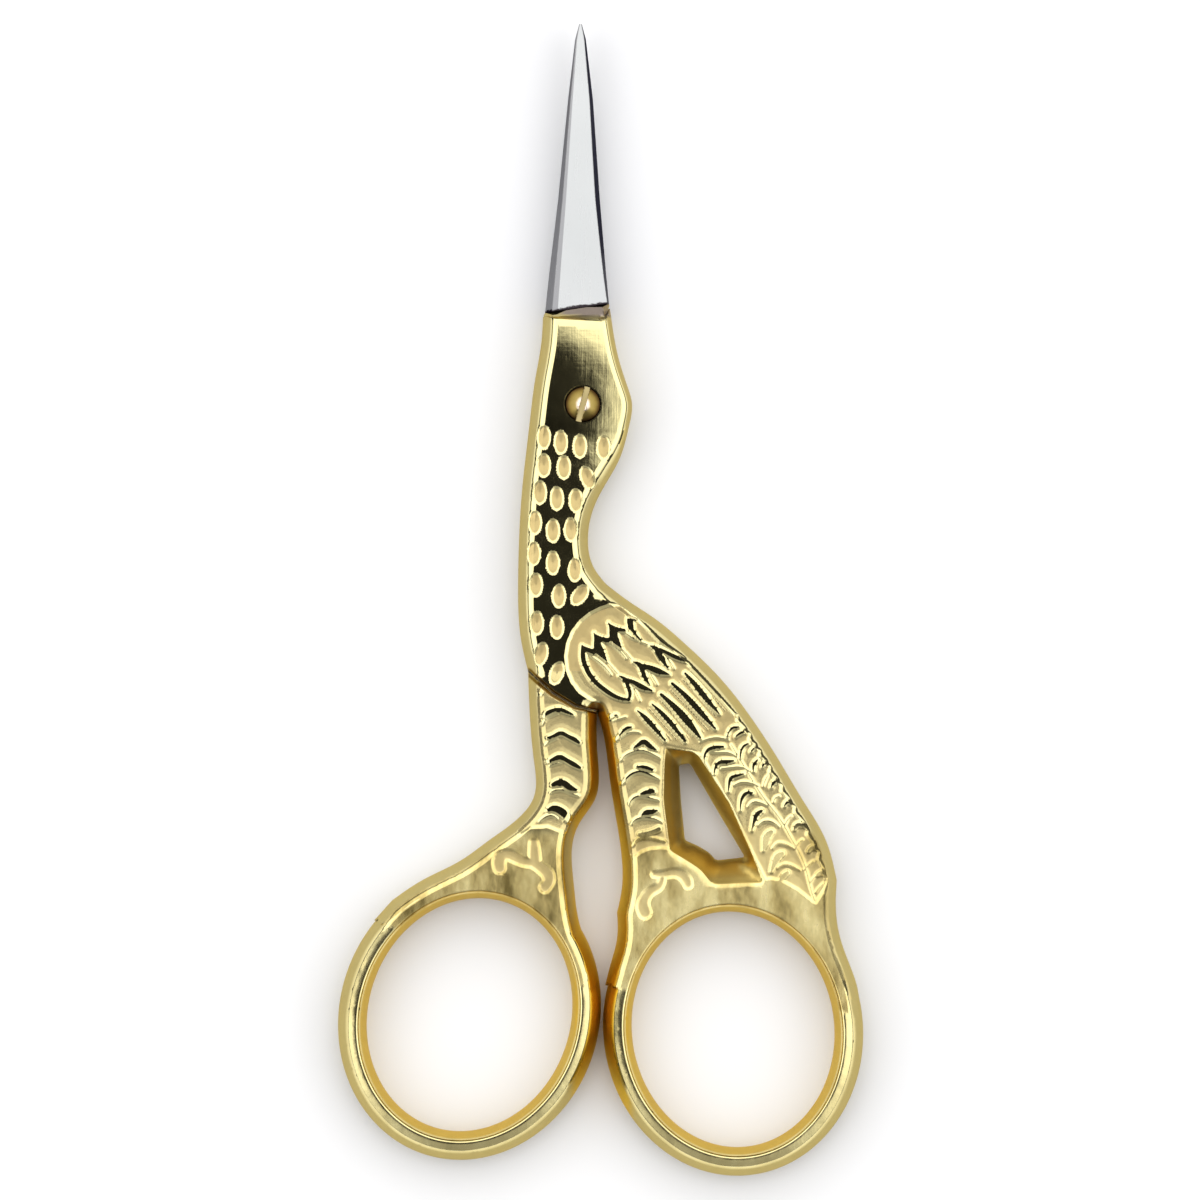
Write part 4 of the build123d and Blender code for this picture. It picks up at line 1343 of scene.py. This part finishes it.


def plated(name):
    """Worn gold plating: polished faces with fine brush marks, satin floors and walls; floors and walls
    painted darker as shade, inner walls painted deep orange as reflection, and split walls painted dark as
    shadow in the gap.
    """
    n = Nodes(bpy.data.materials.new(name))
    where = n.add("TexCoord").outputs["Object"]
    matt_and_shade, wall, inner, cast, stain_and_gap_shade = n.attributes("matt_and_shade", "wall", "inner", "cast", "stain_and_gap_shade")
    dull = n.math("MAXIMUM", matt_and_shade, wall)
    waves = n.noise(where, 330)
    cloud = n.noise(where, 700, 4, 0.65)
    patches = n.noise(where, 420, 4, 0.6, (1, 0.4, 1), 0.7)
    grain = n.noise(where, 6500, 2, 0.6)
    streaks = n.noise(where, 5200, 3, 0.65, (1, 0.05, 1), -0.12)
    scratches = n.noise(where, 3800, 2, 0.5, (0.06, 1, 1), 0.9)
    satin_face = n.add("MapRange", i0=cast, i1=0.6, i2=1.0).outputs[0]
    polish = n.blend(satin_face, n.blend(cloud, 0.03, 0.08), n.blend(patches, 0.12, 0.36))
    rough = n.blend(dull, polish, n.blend(grain, 0.26, 0.42))
    bright = n.mix(cloud, (0.84, 0.735, 0.345, 1), (0.93, 0.83, 0.42, 1))
    worn = n.ramp(
        patches, (0.34, (0.40, 0.30, 0.095)), (0.48, (0.78, 0.62, 0.245)), (0.62, (0.95, 0.81, 0.38))
    )
    # painted shade: side walls a darker tan than the polished face, for how they face the light
    shaded_wall_colour = n.mix(cloud, (0.46, 0.385, 0.175, 1), (0.56, 0.475, 0.225, 1))
    # painted shade: carved floors a darker gold than the polished face
    floor = n.mix(cloud, (0.50, 0.38, 0.155, 1), (0.66, 0.52, 0.235, 1))
    # painted reflection: inner walls a deep orange, as gold walls facing each other light each other, in
    # shade
    deep = n.mix(cloud, (0.60, 0.38, 0.04, 1), (0.78, 0.52, 0.08, 1))
    face = n.mix(satin_face, bright, worn)
    colour = n.mix(inner, n.mix(wall, n.mix(matt_and_shade, face, floor), shaded_wall_colour), deep)
    # a real stain on the shoulder, and split walls painted dark brown as shadow in the gap
    stained = n.mix(inner, n.mix(cloud, (0.20, 0.16, 0.14, 1), (0.36, 0.30, 0.24, 1)), (0.13, 0.07, 0.012, 1))
    colour = n.mix(stain_and_gap_shade, colour, stained)
    marks = n.math("ADD", n.math("MULTIPLY", streaks, 0.12), n.math("MULTIPLY", scratches, 0.06))
    pits = n.math("MULTIPLY", n.math("MULTIPLY", grain, dull), 0.22)
    dent_depth = n.math("ADD", n.math("MULTIPLY", cast, 0.25), n.blend(matt_and_shade, 0.1, 0.4))
    dents = n.math("MULTIPLY", n.noise(where, 2300), dent_depth)
    rolling = n.math("MULTIPLY", waves, n.blend(cast, 1.2, 4.0))
    height = n.math("ADD", n.math("ADD", marks, pits), n.math("ADD", dents, rolling))
    return n.metal(colour, rough, height, (1.0, 0.86, 0.5, 1))


def steel(name):
    """Ground steel: brushed along the blade, its spine face painted mid grey and its ground bevel nearly
    black as shade, with a dark band at the root.
    """
    n = Nodes(bpy.data.materials.new(name))
    where = n.add("TexCoord").outputs["Object"]
    brushed = n.noise(where, 5200, 3, 0.65, (1, 0.025, 1))
    cloud = n.noise(where, 200)
    rough = n.blend(brushed, 0.22, 0.36)
    colour = n.mix(cloud, (0.60, 0.615, 0.605, 1), (0.68, 0.69, 0.68, 1))
    # painted shade: the leaning spine face mid grey and the ground bevel nearly black, for how they face the
    # light
    spine, ground = (n.math("GREATER_THAN", share, 0.9) for share in n.attributes("spine", "ground"))
    colour = n.mix(spine, colour, (0.38, 0.38, 0.385, 1))
    colour = n.mix(ground, colour, (0.075, 0.075, 0.088, 1))
    x, y = n.add("SeparateXYZ", Vector=where).outputs[:2]
    (left_x, left_y), _, lean = plating_line()
    start = (left_y - lean * left_x) * MM
    above = n.math("SUBTRACT", n.math("SUBTRACT", y, n.math("MULTIPLY", x, lean)), start)
    ragged = n.math("MULTIPLY", n.noise(where, 2600, 4, 0.7, (0.5, 1.6, 1)), ROOT_BAND_RAGGED)
    level = n.math("SUBTRACT", above, ragged)
    # a near-black, ragged band along the blade's root
    root_band = n.add("MapRange", i0=level, i1=ROOT_BAND_END, i2=ROOT_BAND_START, i3=1.0, i4=0.0).outputs[0]
    colour = n.mix(root_band, colour, (0.045, 0.035, 0.04, 1))
    return n.metal(colour, rough, n.math("MULTIPLY", brushed, 0.12), (0.3, 0.3, 0.32, 1))


def brass(name):
    """Plated screw with handled, slightly uneven polish; its colour is painted from a bright highlight in the
    middle of the dome to a near-black shade at its rim, and its slot's floor a darker tan as shade.
    """
    n = Nodes(bpy.data.materials.new(name))
    where = n.add("TexCoord").outputs["Object"]
    cloud = n.noise(where, 1600, 3, 0.6)
    matt_and_shade, = n.attributes("matt_and_shade")
    rough = n.blend(matt_and_shade, n.blend(cloud, 0.08, 0.2), 0.5)
    out = n.root(*n.add("SeparateXYZ", Vector=where).outputs[:2])
    out = n.math("ADD", n.math("DIVIDE", out, SCREW_HEAD_DIAMETER / 2 * MM), n.math("MULTIPLY", cloud, 0.16))
    # painted highlight and shade: bright in the middle of the dome, darkening to near black at the rim
    polished = n.ramp(
        out, (0.36, (0.95, 0.80, 0.66)), (0.52, (0.36, 0.27, 0.085)), (0.8, (0.20, 0.14, 0.035)),
        (1.0, (0.05, 0.025, 0.008)),
    )
    # painted shade: the slot's floor a darker tan
    colour = n.mix(matt_and_shade, polished, (0.56, 0.46, 0.22, 1))
    return n.metal(colour, rough, n.math("MULTIPLY", cloud, 0.8), (0.3, 0.2, 0.1, 1))


gold_material = plated("gold_plating")
steel_material = steel("brushed_steel")
brass_material = brass("screw_brass")
for piece, material in (
    (front_forging, gold_material), (rear_forging, gold_material), (front_steel, steel_material),
    (rear_steel, steel_material), (turned_screw, brass_material),
):
    piece.data.materials.append(material)

# Floor, light and camera
floor_corners = [(x * FLOOR_HALF, y * FLOOR_HALF, 0) for x, y in ((-1, -1), (1, -1), (1, 1), (-1, 1))]
floor = mesh_object("floor", floor_corners, [(0, 1, 2, 3)])
paper = Nodes(bpy.data.materials.new("paper"))
paper_shader = paper.add("BsdfPrincipled", Base_Color=(0.93, 0.93, 0.935, 1), Roughness=0.9)
paper.tree.links.new(paper_shader.outputs[0], paper.add("OutputMaterial").inputs[0])
floor.data.materials.append(paper.owner)


def studio():
    """A sky that is bright half way up, dark at the horizon, dimmer in front and dark in an ellipse
    straight above."""
    world = bpy.data.worlds.new("studio")
    sky = Nodes(world)
    x, y, z = sky.add("SeparateXYZ", Vector=sky.add("TexCoord").outputs["Generated"]).outputs
    from_dark = [
        sky.math("DIVIDE", sky.math("SUBTRACT", value, middle), half)
        for value, middle, half in zip((x, y), DARK_MIDDLE, DARK_HALF)
    ]
    elevation = sky.ramp(
        z, (0.0, (0.05, 0.05, 0.05)), (0.16, (0.08, 0.08, 0.08)), (0.3, (0.7, 0.7, 0.7)),
        (0.5, (1.6, 1.6, 1.6)), (0.7, (1.85, 1.85, 1.86)), (0.84, (1.6, 1.6, 1.62)), (1.0, (1.5, 1.5, 1.53)),
    )
    heading = sky.math("DIVIDE", y, sky.math("ADD", sky.root(x, y), 0.02))
    smoothly = {"interpolation_type": "SMOOTHSTEP"}
    front = sky.add("MapRange", smoothly, i0=heading, i1=-0.95, i2=-0.35, i3=0.22, i4=1.0).outputs[0]
    above = sky.root(*from_dark)
    shade = sky.add("MapRange", smoothly, i0=above, i1=0.82, i2=1.4, i3=0.012, i4=1.0).outputs[0]
    strength = sky.math("MULTIPLY", shade, front)
    colour = sky.add("VectorMath", {"operation": "SCALE"}, i0=elevation, Scale=strength).outputs[0]
    background = sky.add("Background", Color=colour, Strength=1.0)
    sky.tree.links.new(background.outputs[0], sky.add("OutputWorld").inputs[0])
    return world


bpy.context.scene.world = studio()

centre = place((PICTURE_PX / 2, PICTURE_PX / 2))
picture_width = PICTURE_PX * (PX_MM[0] - PX_MM[1]) / 2
camera_data = bpy.data.cameras.new("camera")
camera_data.sensor_width = SENSOR
camera_data.lens = SENSOR * CAMERA_HEIGHT / picture_width
camera_data.clip_start = 0.01
camera_data.clip_end = 10
camera = bpy.data.objects.new("camera", camera_data)
camera.location = (centre[0] * MM, centre[1] * MM, (CAMERA_HEIGHT + MIDDLE) * MM)
bpy.context.scene.collection.objects.link(camera)
bpy.context.scene.camera = camera
bpy.context.scene.view_settings.view_transform = "Standard"
